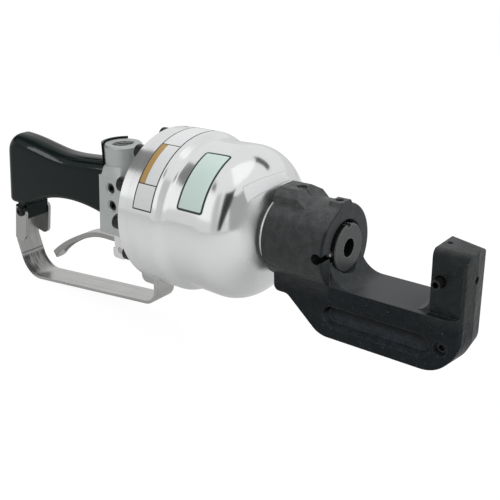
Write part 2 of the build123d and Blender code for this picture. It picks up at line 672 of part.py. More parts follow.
def cylinder_housing():
    body = revolve(Plane.XZ * housing_profile(), Axis.X)
    body -= rod("X", HOUSING_REAR - 1, CHAMBER_FRONT, BORE_R)
    body -= rod("X", CHAMBER_FRONT - 1, gland_front(), GLAND_BORE_D / 2)
    body -= rod("X", CHAMBER_FRONT, NECK_FRONT + 1, RAM_R + NECK_BORE_GAP)
    for i in range(CAP_SCREW_COUNT):
        at = polar(CAP_SCREW_CIRCLE_R, 360 / CAP_SCREW_COUNT * i)
        body -= rod("X", HOUSING_REAR - 1, CAP_REAR + CAP_SCREW_LEN + 1, CAP_SCREW_D / 2 + SEAT_FIT, at)
    # Oil way to the front chamber: along the wall, then in through it
    oil_r = OIL_HOLE_D / 2
    oil_front = CHAMBER_FRONT - OIL_HOLE_D
    body -= rod("X", HOUSING_REAR - 1, oil_front + OIL_HOLE_D, oil_r, polar(OIL_HOLE_R, OIL_HOLE_ANGLE))
    cross = rod("Y", BORE_R - OIL_HOLE_D, OIL_HOLE_R, CROSS_HOLE_D / 2, (oil_front, 0))
    return body - Rotation(OIL_HOLE_ANGLE, 0, 0) * cross


def gland_pieces():
    wiper_rear = gland_front() - WIPER_LEN
    seal_front = wiper_rear - GLAND_STEP / 2
    seal_rear = seal_front - ROD_SEAL_LEN
    bush_front = seal_rear - GLAND_STEP / 2
    seat_r = GLAND_BORE_D / 2 - SEAT_FIT
    inner = RAM_R + RUNNING_FIT
    save(ring("X", wiper_rear, gland_front() - SEAT_FIT, seat_r, inner), "rod_wiper")
    save(ring("X", seal_rear, seal_front, seat_r, inner), "rod_seal")
    save(ring("X", bush_front - BUSHING_LEN, bush_front, seat_r, inner), "rod_bushing")


# Rear end cap
def cap_screw(at):
    head_r = CAP_SCREW_D * 0.8125
    head = rod("X", CAP_REAR - CAP_SCREW_D, CAP_REAR, head_r, at)
    head = chamfer(head.edges().filter_by(GeomType.CIRCLE).sort_by(Axis.X)[0], CAP_SCREW_D / 14)
    head -= hex_prism("X", CAP_REAR - CAP_SCREW_D - 1, CAP_REAR - CAP_SCREW_D / 2, CAP_SCREW_D * 0.75, at)
    return head + rod("X", CAP_REAR, CAP_REAR + CAP_SCREW_LEN, CAP_SCREW_D / 2, at)


def block_screw_places():
    return [(side * BLOCK_SCREW_Y, z) for side in (-1, 1) for z in BLOCK_SCREW_Z]


def block_screw(at):
    head_front = CAP_INNER - 1
    head_rear = head_front - BLOCK_SCREW_D
    head = rod("X", head_rear, head_front, BLOCK_SCREW_D * 0.8, at)
    head -= hex_prism("X", head_front - BLOCK_SCREW_D / 2, head_front + 1, BLOCK_SCREW_D * 0.75, at)
    return head + rod("X", head_rear - BLOCK_SCREW_LEN, head_rear, BLOCK_SCREW_D / 2, at)


def retract_feed():
    return polar(RETRACT_FEED_R, OIL_HOLE_ANGLE)


def rear_end_cap():
    body = rod("X", CAP_REAR, HOUSING_REAR, CAP_D / 2)
    body = chamfer(body.edges().filter_by(GeomType.CIRCLE).sort_by(Axis.X)[0], CAP_EDGE)
    body = chamfer(body.edges().filter_by(GeomType.CIRCLE).sort_by(Axis.X)[-1], CAP_SEAM)
    body += rod("X", HOUSING_REAR, CAP_INNER, BORE_R - SEAT_FIT)
    groove_mid = HOUSING_REAR + CAP_SPIGOT_LEN / 2
    half = CAP_SEAL_SECTION / 2
    body -= ring("X", groove_mid - half, groove_mid + half, BORE_R, BORE_R - CAP_SEAL_SECTION)
    for i in range(CAP_SCREW_COUNT):
        at = polar(CAP_SCREW_CIRCLE_R, 360 / CAP_SCREW_COUNT * i)
        body -= rod("X", CAP_REAR - 1, HOUSING_REAR + 1, CAP_SCREW_D / 2 + SCREW_HOLE_GAP, at)
    head_rear = CAP_INNER - 1 - BLOCK_SCREW_D
    for at in block_screw_places():
        body -= rod("X", CAP_REAR - 1, CAP_INNER + 1, BLOCK_SCREW_D / 2 + SCREW_HOLE_GAP, at)
        body -= rod("X", head_rear, CAP_INNER + 1, BLOCK_SCREW_D * 0.8 + SCREW_HOLE_GAP, at)
    # Extend feed straight through; retract feed turns up a drilling to the housing wall
    body -= rod("X", CAP_REAR - 1, CAP_INNER + 1, GALLERY_D / 2, (0, PRESSURE_FEED_Z))
    middle = (CAP_REAR + HOUSING_REAR) / 2
    oil_r = OIL_HOLE_D / 2
    body -= rod("X", CAP_REAR - 1, middle, oil_r, retract_feed())
    body -= rod("X", middle, HOUSING_REAR + 1, oil_r, polar(OIL_HOLE_R, OIL_HOLE_ANGLE))
    drilling = rod("Y", RETRACT_FEED_R - OIL_HOLE_D, CAP_D / 2, PASSAGE_D / 2, (middle, 0))
    plug_hole_r = PASSAGE_PLUG_D / 2 + SEAT_FIT
    drilling += rod("Y", CAP_D / 2 - PASSAGE_PLUG_LEN, CAP_D / 2 + 1, plug_hole_r, (middle, 0))
    return body - Rotation(OIL_HOLE_ANGLE, 0, 0) * drilling


def cap_pieces():
    save(rear_end_cap(), "rear_end_cap")
    circle = [polar(CAP_SCREW_CIRCLE_R, 360 / CAP_SCREW_COUNT * i) for i in range(CAP_SCREW_COUNT)]
    save_group([cap_screw(at) for at in circle], "end_cap_screws")
    save_group([block_screw(at) for at in block_screw_places()], "block_screws")
    groove_mid = HOUSING_REAR + CAP_SPIGOT_LEN / 2
    half = CAP_SEAL_SECTION / 2 - SEAT_FIT
    seal_r = BORE_R - SEAT_FIT
    seal = ring("X", groove_mid - half, groove_mid + half, seal_r, BORE_R - CAP_SEAL_SECTION + SEAT_FIT)
    save(seal, "end_cap_seal")
    middle = (CAP_REAR + HOUSING_REAR) / 2
    edge = CAP_D / 2 - 0.6
    plug = rod("Y", CAP_D / 2 - PASSAGE_PLUG_LEN, edge, PASSAGE_PLUG_D / 2, (middle, 0))
    plug -= hex_prism("Y", edge - PASSAGE_PLUG_LEN / 2, edge + 1, PASSAGE_PLUG_D / 2, (middle, 0))
    save(Rotation(OIL_HOLE_ANGLE, 0, 0) * plug, "passage_plug")


# Valve block
def face_seal_places():
    return [(0, PRESSURE_FEED_Z), retract_feed()]


def valve_block():
    rear_top = BLOCK_REAR + BLOCK_LEAN
    body = plate(
        [(BLOCK_REAR, BLOCK_BOTTOM), (CAP_REAR, BLOCK_BOTTOM), (CAP_REAR, BLOCK_TOP), (rear_top, BLOCK_TOP)],
        0, BLOCK_HALF)
    sides = [edge for edge in body.edges() if abs(edge.center().Y) > BLOCK_HALF - 0.1]
    body = fillet([edge for edge in sides if edge.center().X < rear_top], BLOCK_EDGE)
    boss = rod("Z", BLOCK_TOP - 1, BOSS_TOP, BOSS_D / 2, (BOSS_X, 0))
    boss = chamfer(boss.edges().filter_by(GeomType.CIRCLE).sort_by(Axis.Z)[-1], BOSS_EDGE)
    body += boss + boss_shoulder()
    leg = plate(
        [(LEG_REAR, BLOCK_BOTTOM + 1), (LEG_FRONT, BLOCK_BOTTOM + 1),
         (LEG_FRONT, LEG_BOTTOM), (LEG_REAR, LEG_BOTTOM)],
        [0, 0, LEG_CORNER / 5, LEG_CORNER], LEG_WIDTH / 2)
    body += leg
    body += trigger_ears()
    body += tang(0)
    body -= guard_screw_hole(-STUB_WIDTH, STUB_WIDTH, SCREW_HOLE_GAP)
    return body - valve_bores()


def boss_shoulder():
    """The slope from the block's top edges up to a narrow round ledge below the port boss."""
    half_len = BOSS_X - BLOCK_REAR - BLOCK_LEAN
    foot = Plane.XY.offset(BLOCK_TOP - 0.5) * Pos(BOSS_X, 0) * Rectangle(half_len * 2, BLOCK_WIDTH)
    ledge = Plane.XY.offset(BLOCK_TOP + BOSS_FOOT) * Pos(BOSS_X, 0) * Circle(BOSS_D / 2 + BOSS_LEDGE)
    slope = loft([foot, ledge])
    ahead = block(sleeve_front() + SEAT_FIT, CAP_REAR, -BLOCK_WIDTH, BLOCK_WIDTH, BLOCK_BOTTOM, BOSS_TOP)
    return slope & ahead


def trigger_ears():
    """Two ears below the block, each with a ledge behind, that hold the trigger's pin."""
    neck, foot, front = PIVOT_X - EAR_NECK, PIVOT_X - EAR_FOOT, PIVOT_X + EAR_FRONT
    ears = plate(
        [(neck, BLOCK_BOTTOM + 1), (front, BLOCK_BOTTOM + 1), (front, EAR_BOTTOM), (foot, EAR_BOTTOM),
         (foot, EAR_LEDGE_Z), (neck, EAR_LEDGE_Z)],
        [0, 0, EAR_CORNER * 2, EAR_CORNER, EAR_CORNER / 4, EAR_CORNER / 6], EAR_OUTER)
    return ears - block(foot - 1, front + 1, -EAR_INNER, EAR_INNER, EAR_BOTTOM - 1, BLOCK_BOTTOM)


def valve_bores():
    """Everything drilled in the valve block."""
    cuts = rod("Y", -COLLAR_D, COLLAR_D, PIVOT_PIN_D / 2 + SEAT_FIT, (PIVOT_X, PIVOT_Z))
    # Pressure port in the boss, its gallery down and across to the spool
    cuts += rod("Z", BOSS_TOP - PORT_DEPTH, BOSS_TOP + 1, PORT_D / 2, (BOSS_X, 0))
    cuts += cone("Z", BOSS_TOP - PORT_MOUTH, BOSS_TOP + 0.1, PORT_D / 2, PORT_D / 2 + PORT_MOUTH, (BOSS_X, 0))
    lowest = min(SIDE_PLUG_Z)
    cuts += rod("Z", lowest, BOSS_TOP - PORT_DEPTH + 1, GALLERY_D / 2, (BOSS_X, 0))
    cuts += rod("X", BOSS_X, SPOOL_X, GALLERY_D / 2 - 1, (0, max(SIDE_PLUG_Z) - GALLERY_D / 2))
    # Return port in the far side
    port_floor = BLOCK_HALF - RETURN_PORT_DEPTH
    cuts += rod("Y", port_floor, BLOCK_HALF + 1, PORT_D / 2, (RETURN_PORT_X, RETURN_PORT_Z))
    cuts += cone("Y", BLOCK_HALF - PORT_MOUTH, BLOCK_HALF + 0.1, PORT_D / 2, PORT_D / 2 + PORT_MOUTH,
                 (RETURN_PORT_X, RETURN_PORT_Z))
    cross_r = GALLERY_D / 2 - 1
    cuts += rod("X", SPOOL_X, RETURN_PORT_X, cross_r, (port_floor - cross_r / 2, RETURN_PORT_Z))
    # Feeds to the end cap, with their seal grooves
    cuts += rod("X", SPOOL_X, CAP_REAR + 1, GALLERY_D / 2, (0, PRESSURE_FEED_Z))
    cuts += rod("X", SPOOL_X, CAP_REAR + 1, OIL_HOLE_D / 2, retract_feed())
    for at in face_seal_places():
        groove_outer = FACE_SEAL_R + SEAT_FIT
        groove_inner = FACE_SEAL_R - FACE_SEAL_SECTION
        cuts += ring("X", CAP_REAR - FACE_SEAL_SECTION, CAP_REAR + 1, groove_outer, groove_inner, at)
    # Side plugs and the screws from the end cap
    for z in SIDE_PLUG_Z:
        cuts += rod("Y", -BLOCK_HALF - 1, 0, SIDE_PLUG_D / 2 + SEAT_FIT, (BOSS_X, z))
        cuts += cone("Y", -BLOCK_HALF - 0.1, -BLOCK_HALF + SIDE_PLUG_SINK, SIDE_PLUG_D / 2 + SIDE_PLUG_SINK,
                     SIDE_PLUG_D / 2, (BOSS_X, z))
    screw_rear = CAP_INNER - 1 - BLOCK_SCREW_D - BLOCK_SCREW_LEN
    for at in block_screw_places():
        cuts += rod("X", screw_rear - 1, CAP_REAR + 1, BLOCK_SCREW_D / 2 + SEAT_FIT, at)
    # Spool bore, drilled from below, with the wider thread of its gland
    cuts += rod("Z", BLOCK_BOTTOM - 1, SPOOL_TOP + BODY_GAP, SPOOL_R + RUNNING_FIT, (SPOOL_X, 0))
    cuts += rod("Z", BLOCK_BOTTOM - 1, gland_nut_top(), GLAND_NUT_D / 2 + SEAT_FIT, (SPOOL_X, 0))
    # Tapped hole in the leg for the guard's front screw
    leg_hole_rear = LEG_FRONT + STRAP_THICK - GUARD_FRONT_SCREW_LEN - 1
    cuts += rod("X", leg_hole_rear, LEG_FRONT + 1, GUARD_SCREW_D / 2 + SEAT_FIT, (0, GUARD_FRONT_SCREW_Z))
    return cuts


def tail(shape):
    """Places a shape drawn about the stub's top, x forward and z up, at the grip's leaning rear end."""
    return Pos(GRIP_REAR + STUB_SETBACK, 0, GRIP_REAR_BOTTOM) * Rotation(0, STUB_TILT_DEG, 0) * shape


def tang(gap):
    """The block's tail inside the grip, grown by gap all round."""
    rear = GRIP_REAR + STUB_SETBACK + STUB_REAR + TANG_COVER
    half = TANG_WIDTH / 2 + gap
    front = BLOCK_REAR + BLOCK_LEAN + 1
    bar = block(rear - gap, front, -half, half, TANG_BOTTOM - gap, TANG_TOP + gap)
    foot_top = TANG_BOTTOM - GRIP_REAR_BOTTOM + TANG_WIDTH
    foot = block(STUB_REAR + TANG_COVER - gap, STUB_FRONT - TANG_COVER + gap, -half, half,
                 TANG_COVER - STUB_DEPTH - gap, foot_top)
    return bar + tail(foot)


def guard_screw_hole(start, end, gap):
    """A hole along Y for the guard's rear screw."""
    return tail(rod("Y", start, end, GUARD_SCREW_D / 2 + gap, (GUARD_SCREW_AHEAD, -GUARD_SCREW_DEPTH)))


def side_plug(z):
    outer = -BLOCK_HALF + SIDE_PLUG_SINK
    plug = rod("Y", outer, outer + SIDE_PLUG_LEN, SIDE_PLUG_D / 2, (BOSS_X, z))
    return plug - hex_prism("Y", outer - 1, outer + SIDE_PLUG_LEN / 2, SIDE_PLUG_D * 0.55, (BOSS_X, z))


def block_pieces():
    save(valve_block(), "valve_block")
    save_group([side_plug(z) for z in SIDE_PLUG_Z], "side_plugs")
    seal_inner = FACE_SEAL_R - FACE_SEAL_SECTION + SEAT_FIT
    seal_rear = CAP_REAR - FACE_SEAL_SECTION + SEAT_FIT
    seals = [
        ring("X", seal_rear, CAP_REAR - SEAT_FIT, FACE_SEAL_R, seal_inner, at)
        for at in face_seal_places()
    ]
    save_group(seals, "block_face_seals")


# Spool valve
def gland_nut_top():
    return BLOCK_BOTTOM + GLAND_NUT_LEN


def spool_bottom():
    return SPOOL_TOP - SPOOL_LEN


def spool_seal_spans():
    low = spool_bottom() + SPOOL_SEAL_INSET
    high = SPOOL_TOP - SPOOL_SEAL_INSET - SPOOL_SEAL_SECTION
    return [(z, z + SPOOL_SEAL_SECTION) for z in (low, high)]


def valve_spool():
    at = (SPOOL_X, 0)
    body = rod("Z", spool_bottom(), SPOOL_TOP, SPOOL_R, at)
    middle = (spool_bottom() + SPOOL_TOP) / 2
    half = SPOOL_WAIST_LEN / 2
    body -= ring("Z", middle - half, middle + half, SPOOL_D, SPOOL_WAIST_D / 2, at)
    for start, end in spool_seal_spans():
        body -= ring("Z", start, end, SPOOL_D, SPOOL_R - SPOOL_SEAL_SECTION, at)
    body += rod("Z", spool_end_top(), spool_bottom(), SPOOL_STEM_D / 2, at)
    return body + rod("Z", PIVOT_Z, spool_end_top(), SPOOL_END_THREAD_D / 2, at)


def groove_half():
    return LEVER_PAD_D / 2 + LEVER_PAD_GAP


def spool_end_top():
    return PIVOT_Z + groove_half() + SPOOL_COLLAR_LEN


def spool_end():
    """The grooved button screwed on the spool's stem, which the lever's fork holds."""
    at = (SPOOL_X, 0)
    bottom = PIVOT_Z - groove_half() - SPOOL_COLLAR_LEN
    body = rod("Z", bottom, spool_end_top(), SPOOL_COLLAR_D / 2, at)
    body -= ring("Z", PIVOT_Z - groove_half(), PIVOT_Z + groove_half(), SPOOL_COLLAR_D, SPOOL_STEM_D / 2, at)
    return body - rod("Z", PIVOT_Z, spool_end_top() + 1, SPOOL_END_THREAD_D / 2 + SEAT_FIT, at)


def spool_spring():
    """A compression spring round the spool's stem, between the gland and the spool's land."""
    low = gland_nut_top() + BODY_GAP + SPRING_WIRE_D / 2
    high = spool_bottom() - BODY_GAP - SPRING_WIRE_D / 2
    mean_r = (SPOOL_STEM_D / 2 + SPOOL_R) / 2
    path = Helix((high - low) / SPRING_TURNS, high - low, mean_r, center=(SPOOL_X, 0, low))
    section = Plane(path @ 0, z_dir=path % 0) * Circle(SPRING_WIRE_D / 2)
    return sweep(section, path=path, is_frenet=True)


def spool_pieces():
    at = (SPOOL_X, 0)
    save(valve_spool(), "valve_spool")
    seals = [ring("Z", a, b, SPOOL_R, SPOOL_R - SPOOL_SEAL_SECTION, at) for a, b in spool_seal_spans()]
    save_group(seals, "spool_seals")
    save(spool_spring(), "spool_spring")
    save(spool_end(), "spool_end")
    nut = rod("Z", BLOCK_BOTTOM, gland_nut_top(), GLAND_NUT_D / 2, at)
    nut += hex_prism("Z", BLOCK_BOTTOM - GLAND_NUT_FLANGE_LEN, BLOCK_BOTTOM, GLAND_NUT_FLATS, at)
    nut -= rod("Z", PIVOT_Z, BLOCK_TOP, SPOOL_STEM_D / 2 + RUNNING_FIT, at)
    save(nut, "spool_gland")


# Trigger
def lever_arch():
    """The lever's side view: from the hub over a low crown, then down to a deeper tail."""
    crown = (PIVOT_X - LEVER_CROWN_BACK, LEVER_CROWN_Z)
    middle = (PIVOT_X - LEVER_MID_BACK, LEVER_MID_Z)
    end = (PIVOT_X - LEVER_TAIL_BACK, LEVER_TAIL_Z)
    crown_low = (crown[0], crown[1] - LEVER_CROWN_DEPTH)
    middle_low = (middle[0], middle[1] - LEVER_DEPTH)
    end_low = (end[0] + LEVER_TAIL_DEPTH * 0.67, end[1] - LEVER_TAIL_DEPTH)
    neck_low = (PIVOT_X - LEVER_HUB_D * 0.8, crown_low[1])
    hub_low = (PIVOT_X - LEVER_HUB_D * 0.4, PIVOT_Z)
    hub_high = (PIVOT_X, LEVER_CROWN_Z)
    hub_middle = (PIVOT_X, PIVOT_Z)
    outline = Spline(crown, middle, end, tangents=((-1, 0), (-0.74, -0.67)))
    outline += Line(end, end_low)
    outline += Spline(end_low, middle_low, crown_low, tangents=((0.62, 0.78), (1, 0)))
    outline += Line(crown_low, neck_low)
    outline += Line(neck_low, hub_low)
    outline += Line(hub_low, hub_middle)
    outline += Line(hub_middle, hub_high)
    outline += Line(hub_high, crown)
    return make_face(outline)


def trigger_lever():
    half = LEVER_WIDTH / 2
    body = extrude(Plane.XZ * lever_arch(), amount=half, both=True)
    # Shallow hollow under the tail, so that its sides are flanges
    hollow = extrude(Plane.XZ * lever_arch(), amount=half - LEVER_WALL, both=True)
    tail_x = PIVOT_X - LEVER_TAIL_BACK
    front_x = PIVOT_X - LEVER_CROWN_BACK
    window = block(tail_x + LEVER_WALL * 3, front_x, -half, half, LEVER_TAIL_Z * 2, LEVER_CROWN_Z)
    body -= (Pos(0, 0, -LEVER_WALL) * hollow) & window
    tail = [e for e in body.edges() if e.center().X < tail_x + LEVER_WALL]
    corners = [e for e in tail if abs(e.center().Y) > half - 0.1]
    corners = [e for e in corners if e.length < LEVER_TAIL_DEPTH * 1.3]
    body = fillet(corners, LEVER_WIDTH / 3)
    body += rod("Y", -half, half, LEVER_HUB_D / 2, (PIVOT_X, PIVOT_Z))
    # Forked nose that rides in the spool's groove
    prong_inner = SPOOL_STEM_D / 2 + EAR_SIDE_GAP
    prong_outer = prong_inner + LEVER_PRONG_WIDTH
    for side in (-1, 1):
        low, high = sorted((side * prong_inner, side * prong_outer))
        thick = LEVER_PRONG_THICK / 2
        body += block(PIVOT_X, SPOOL_X, low, high, PIVOT_Z - thick, PIVOT_Z + thick)
        body += rod("Y", low, high, LEVER_PAD_D / 2, (SPOOL_X, PIVOT_Z))
    return body - rod("Y", -LEVER_WIDTH, LEVER_WIDTH, PIVOT_PIN_D / 2 + RUNNING_FIT, (PIVOT_X, PIVOT_Z))


def trigger_pieces():
    save(trigger_lever(), "trigger_lever")
    at = (PIVOT_X, PIVOT_Z)
    pin = rod("Y", -EAR_OUTER, EAR_OUTER, PIVOT_PIN_D / 2, at)
    save(chamfer(pin.edges().filter_by(GeomType.CIRCLE), PIVOT_PIN_D / 12), "trigger_pivot_pin")


# Grip
def grip_outline():
    """The grip's side view, in X and Z: hump at the rear, saddle on top, arch for the fingers below."""
    front = BLOCK_REAR
    lean = BLOCK_LEAN / (BLOCK_TOP - BLOCK_BOTTOM)
    rear_top = GRIP_REAR + GRIP_REAR_LEAN
    hump = (rear_top + GRIP_HUMP_LEN, GRIP_HUMP_TOP)
    heel = (GRIP_REAR + STUB_SETBACK + STUB_FRONT, GRIP_REAR_BOTTOM)
    reach = front - hump[0]
    saddle = (hump[0] + reach * 0.53, GRIP_SADDLE_TOP)
    top_z = GRIP_SADDLE_TOP + 3
    top_front = (front + lean * (top_z - BLOCK_BOTTOM), top_z)
    arch_reach = front - heel[0]
    arch = (heel[0] + arch_reach * 0.52, GRIP_ARCH_BOTTOM)
    bottom_z = GRIP_ARCH_BOTTOM - 5.5
    bottom_front = (front + lean * (bottom_z - BLOCK_BOTTOM), bottom_z)
    corner_x = rear_top + GRIP_HUMP_CORNER * 0.12
    outline = Spline(hump, saddle, top_front, tangents=((1, -0.04), (1, 0.06)))
    outline += Line(top_front, bottom_front)
    outline += Spline(bottom_front, arch, heel, tangents=((-1, 0.25), (-0.8, -0.5)))
    outline += Line(heel, (GRIP_REAR, GRIP_REAR_BOTTOM))
    outline += Line((GRIP_REAR, GRIP_REAR_BOTTOM), (corner_x, GRIP_HUMP_TOP - GRIP_HUMP_CORNER))
    outline += TangentArc((corner_x, GRIP_HUMP_TOP - GRIP_HUMP_CORNER), hump, tangent=(corner_x - GRIP_REAR,
                          GRIP_HUMP_TOP - GRIP_HUMP_CORNER - GRIP_REAR_BOTTOM))
    return make_face(outline)


def sleeve_front():
    return BOSS_X - BOSS_D / 2 + SLEEVE_REACH


def low_edge(edge):
    """True for an edge round the grip's underside, from the finger arch to the rear end."""
    box = edge.bounding_box()
    crossing = abs(edge.center().Y) < 1 and edge.center().X > GRIP_REAR + 1
    return box.min.Z < GRIP_REAR_BOTTOM + 1 and box.max.Z < 0 and not crossing


def handle_grip():
    half = GRIP_WIDTH / 2
    body = extrude(Plane.XZ * grip_outline(), amount=half, both=True)
    rims = [edge for edge in body.edges() if abs(edge.center().Y) > half - 0.1]
    rims = [edge for edge in rims if edge.center().X < BLOCK_REAR - 0.5]
    body = fillet([edge for edge in rims if not low_edge(edge)], GRIP_TOP_EDGE)
    body = fillet([edge for edge in body.edges() if low_edge(edge)], GRIP_LOW_EDGE)
    # Stub below the rear end that the guard hugs
    stub = block(STUB_REAR, STUB_FRONT, -STUB_HALF, STUB_HALF, -STUB_DEPTH, GRIP_TOP_EDGE)
    body += tail(fillet(stub.edges().filter_by(Axis.Y).group_by(Axis.Z)[0], 1.5))
    # Half sleeve behind the port boss
    inner = BOSS_D / 2 + SEAT_FIT
    sleeve = ring("Z", BLOCK_TOP, SLEEVE_TOP, inner + SLEEVE_WALL, inner, (BOSS_X, 0))
    body += sleeve & block(BLOCK_REAR - BOSS_D, sleeve_front(), -BOSS_D, BOSS_D, BLOCK_TOP, SLEEVE_TOP)
    body -= rod("Z", BLOCK_TOP - 1 - SEAT_FIT, SLEEVE_TOP + 1, inner, (BOSS_X, 0))
    body -= tang(SEAT_FIT)
    return body - guard_screw_hole(-STUB_WIDTH, STUB_WIDTH, SCREW_HOLE_GAP)


# Guard strap
def strap_front_x():
    return LEG_FRONT


def tail_point(x, z):
    """A point drawn about the stub's top, in the tool's own X and Z."""
    place = tail(Vertex(x, 0, z)).center()
    return place.X, 0, place.Z


def guard_strap():
    thick = STRAP_THICK
    web_x = STUB_REAR - thick / 2
    front_x = strap_front_x() + thick / 2
    front_z = STRAP_LOW_Z + math.tan(math.radians(STRAP_RISE_DEG)) * (front_x - STRAP_LOW_X)
    path = FilletPolyline(
        tail_point(web_x, -STRAP_EAR_DEPTH / 2), tail_point(web_x, -STRAP_EAR_DEPTH - thick),
        (STRAP_LOW_X, 0, STRAP_LOW_Z), (front_x, 0, front_z), (front_x, 0, STRAP_TOP_Z),
        radius=[STRAP_HEEL_BEND, STRAP_REAR_BEND, STRAP_FRONT_BEND])
    section = Plane(path @ 0, x_dir=(0, 1, 0), z_dir=path % 0) * Rectangle(STRAP_WIDTH, thick)
    body = sweep(section, path=path)
    # The strap narrows towards the front
    wedge = make_face(Polyline(
        (STRAP_LOW_X + STRAP_REAR_BEND, STRAP_WIDTH / 2), (LEG_FRONT + thick * 2, STRAP_FRONT_WIDTH / 2),
        (LEG_FRONT + thick * 2, STRAP_WIDTH), (STRAP_LOW_X + STRAP_REAR_BEND, STRAP_WIDTH), close=True))
    wedge = extrude(Plane.XY.offset(STRAP_LOW_Z * 2) * wedge, amount=-STRAP_LOW_Z * 2)
    body -= wedge + mirror(wedge, Plane.XZ)
    # Channel at the rear end: a web behind the stub and an ear each side of it
    rear = STUB_REAR - thick
    low = -STRAP_EAR_DEPTH
    top = -STRAP_EAR_DROP
    channel = plate(
        [(rear, top), (rear + STRAP_EAR_LEN, top), (rear + STRAP_EAR_LEN, low), (rear, low)],
        [0, STRAP_EAR_CORNER / 2, STRAP_EAR_CORNER, 0], STRAP_EAR_OUTER)
    channel = fillet(channel.edges().filter_by(Axis.Z).group_by(Axis.X)[0], STRAP_EAR_BEND)
    channel -= block(STUB_REAR, STUB_REAR + STRAP_EAR_LEN, -STUB_HALF, STUB_HALF, low * 2, 1)
    body += tail(channel)
    body -= guard_screw_hole(-STUB_WIDTH, 0, SCREW_HOLE_GAP)
    body -= guard_screw_hole(0, STUB_WIDTH, SEAT_FIT)
    hole = GUARD_SCREW_D / 2 + SCREW_HOLE_GAP
    return body - rod("X", strap_front_x() - 1, strap_front_x() + thick + 1, hole, (0, GUARD_FRONT_SCREW_Z))


def button_head(axis, seat, outward, diameter, length, at):
    """A low button head with a hex socket, standing outward from its seat."""
    top = seat + outward * length
    low, high = sorted((seat, top))
    head = rod(axis, low, high, diameter / 2, at)
    along = {"X": Axis.X, "Y": Axis.Y}[axis]
    rims = head.edges().filter_by(GeomType.CIRCLE).sort_by(along)
    head = fillet(rims[-1] if outward > 0 else rims[0], length * 0.7)
    low, high = sorted((top - outward * length * 0.6, top + outward))
    return head - hex_prism(axis, low, high, diameter * 0.38, at)


def guard_pieces():
    save(guard_strap(), "guard_strap")
    at = (GUARD_SCREW_AHEAD, -GUARD_SCREW_DEPTH)
    outer = STRAP_EAR_OUTER
    screw = rod("Y", -outer, outer, GUARD_SCREW_D / 2, at)
    screw += button_head("Y", -outer, -1, GUARD_SCREW_HEAD_D, GUARD_SCREW_HEAD_LEN, at)
    save(tail(screw), "guard_rear_screw")
    at = (0, GUARD_FRONT_SCREW_Z)
    seat = strap_front_x() + STRAP_THICK
    screw = rod("X", seat - GUARD_FRONT_SCREW_LEN, seat, GUARD_SCREW_D / 2, at)
    save(screw + button_head("X", seat, 1, GUARD_SCREW_HEAD_D, GUARD_SCREW_HEAD_LEN, at), "guard_front_screw")


save(c_head(), "c_head")
head_fasteners()
piston_pieces()
save(cylinder_housing(), "cylinder_housing")
gland_pieces()
cap_pieces()
block_pieces()
spool_pieces()
trigger_pieces()
save(handle_grip(), "handle_grip")
guard_pieces()
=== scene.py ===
import json
import math

import bmesh
import bpy
from mathutils import Matrix, Vector


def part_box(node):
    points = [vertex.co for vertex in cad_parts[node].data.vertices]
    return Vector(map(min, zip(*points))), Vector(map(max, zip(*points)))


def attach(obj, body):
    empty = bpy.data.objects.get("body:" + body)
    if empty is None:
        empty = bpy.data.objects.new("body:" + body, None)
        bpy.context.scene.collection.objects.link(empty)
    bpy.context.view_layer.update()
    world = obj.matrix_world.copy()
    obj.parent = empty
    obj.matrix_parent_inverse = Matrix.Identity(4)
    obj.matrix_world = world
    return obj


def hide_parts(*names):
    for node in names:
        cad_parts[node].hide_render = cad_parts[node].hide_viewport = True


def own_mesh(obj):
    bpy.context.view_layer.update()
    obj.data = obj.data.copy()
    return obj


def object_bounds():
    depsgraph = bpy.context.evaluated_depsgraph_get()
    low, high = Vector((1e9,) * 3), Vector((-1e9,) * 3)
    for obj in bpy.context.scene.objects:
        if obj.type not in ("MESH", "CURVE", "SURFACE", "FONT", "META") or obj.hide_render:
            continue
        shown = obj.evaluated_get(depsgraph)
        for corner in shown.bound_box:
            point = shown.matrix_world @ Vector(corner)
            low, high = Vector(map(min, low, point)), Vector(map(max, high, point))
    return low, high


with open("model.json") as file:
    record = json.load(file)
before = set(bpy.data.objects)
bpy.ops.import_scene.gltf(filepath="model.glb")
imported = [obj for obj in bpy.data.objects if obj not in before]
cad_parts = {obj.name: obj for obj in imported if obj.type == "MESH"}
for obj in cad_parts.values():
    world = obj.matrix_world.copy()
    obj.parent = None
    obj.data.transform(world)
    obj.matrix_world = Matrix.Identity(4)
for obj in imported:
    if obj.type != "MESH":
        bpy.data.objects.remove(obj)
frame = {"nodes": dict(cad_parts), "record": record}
cad_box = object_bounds()
nodes = frame["nodes"]
MM = 0.001

# Camera: viewing angle in degrees, focal length in pixels of a 500-pixel frame, distance in metres,
# and the pixel where the middle of the ram's face lies
VIEW_AZIMUTH = 39.0
VIEW_ELEVATION = 22.3
VIEW_ROLL = -1.4
FOCAL_PIXELS = 801.0
DISTANCE = 0.604
TARGET_PIXEL = (349.0, 247.7)
FRAME_PIXELS = 500.0
SENSOR_MM = 36.0


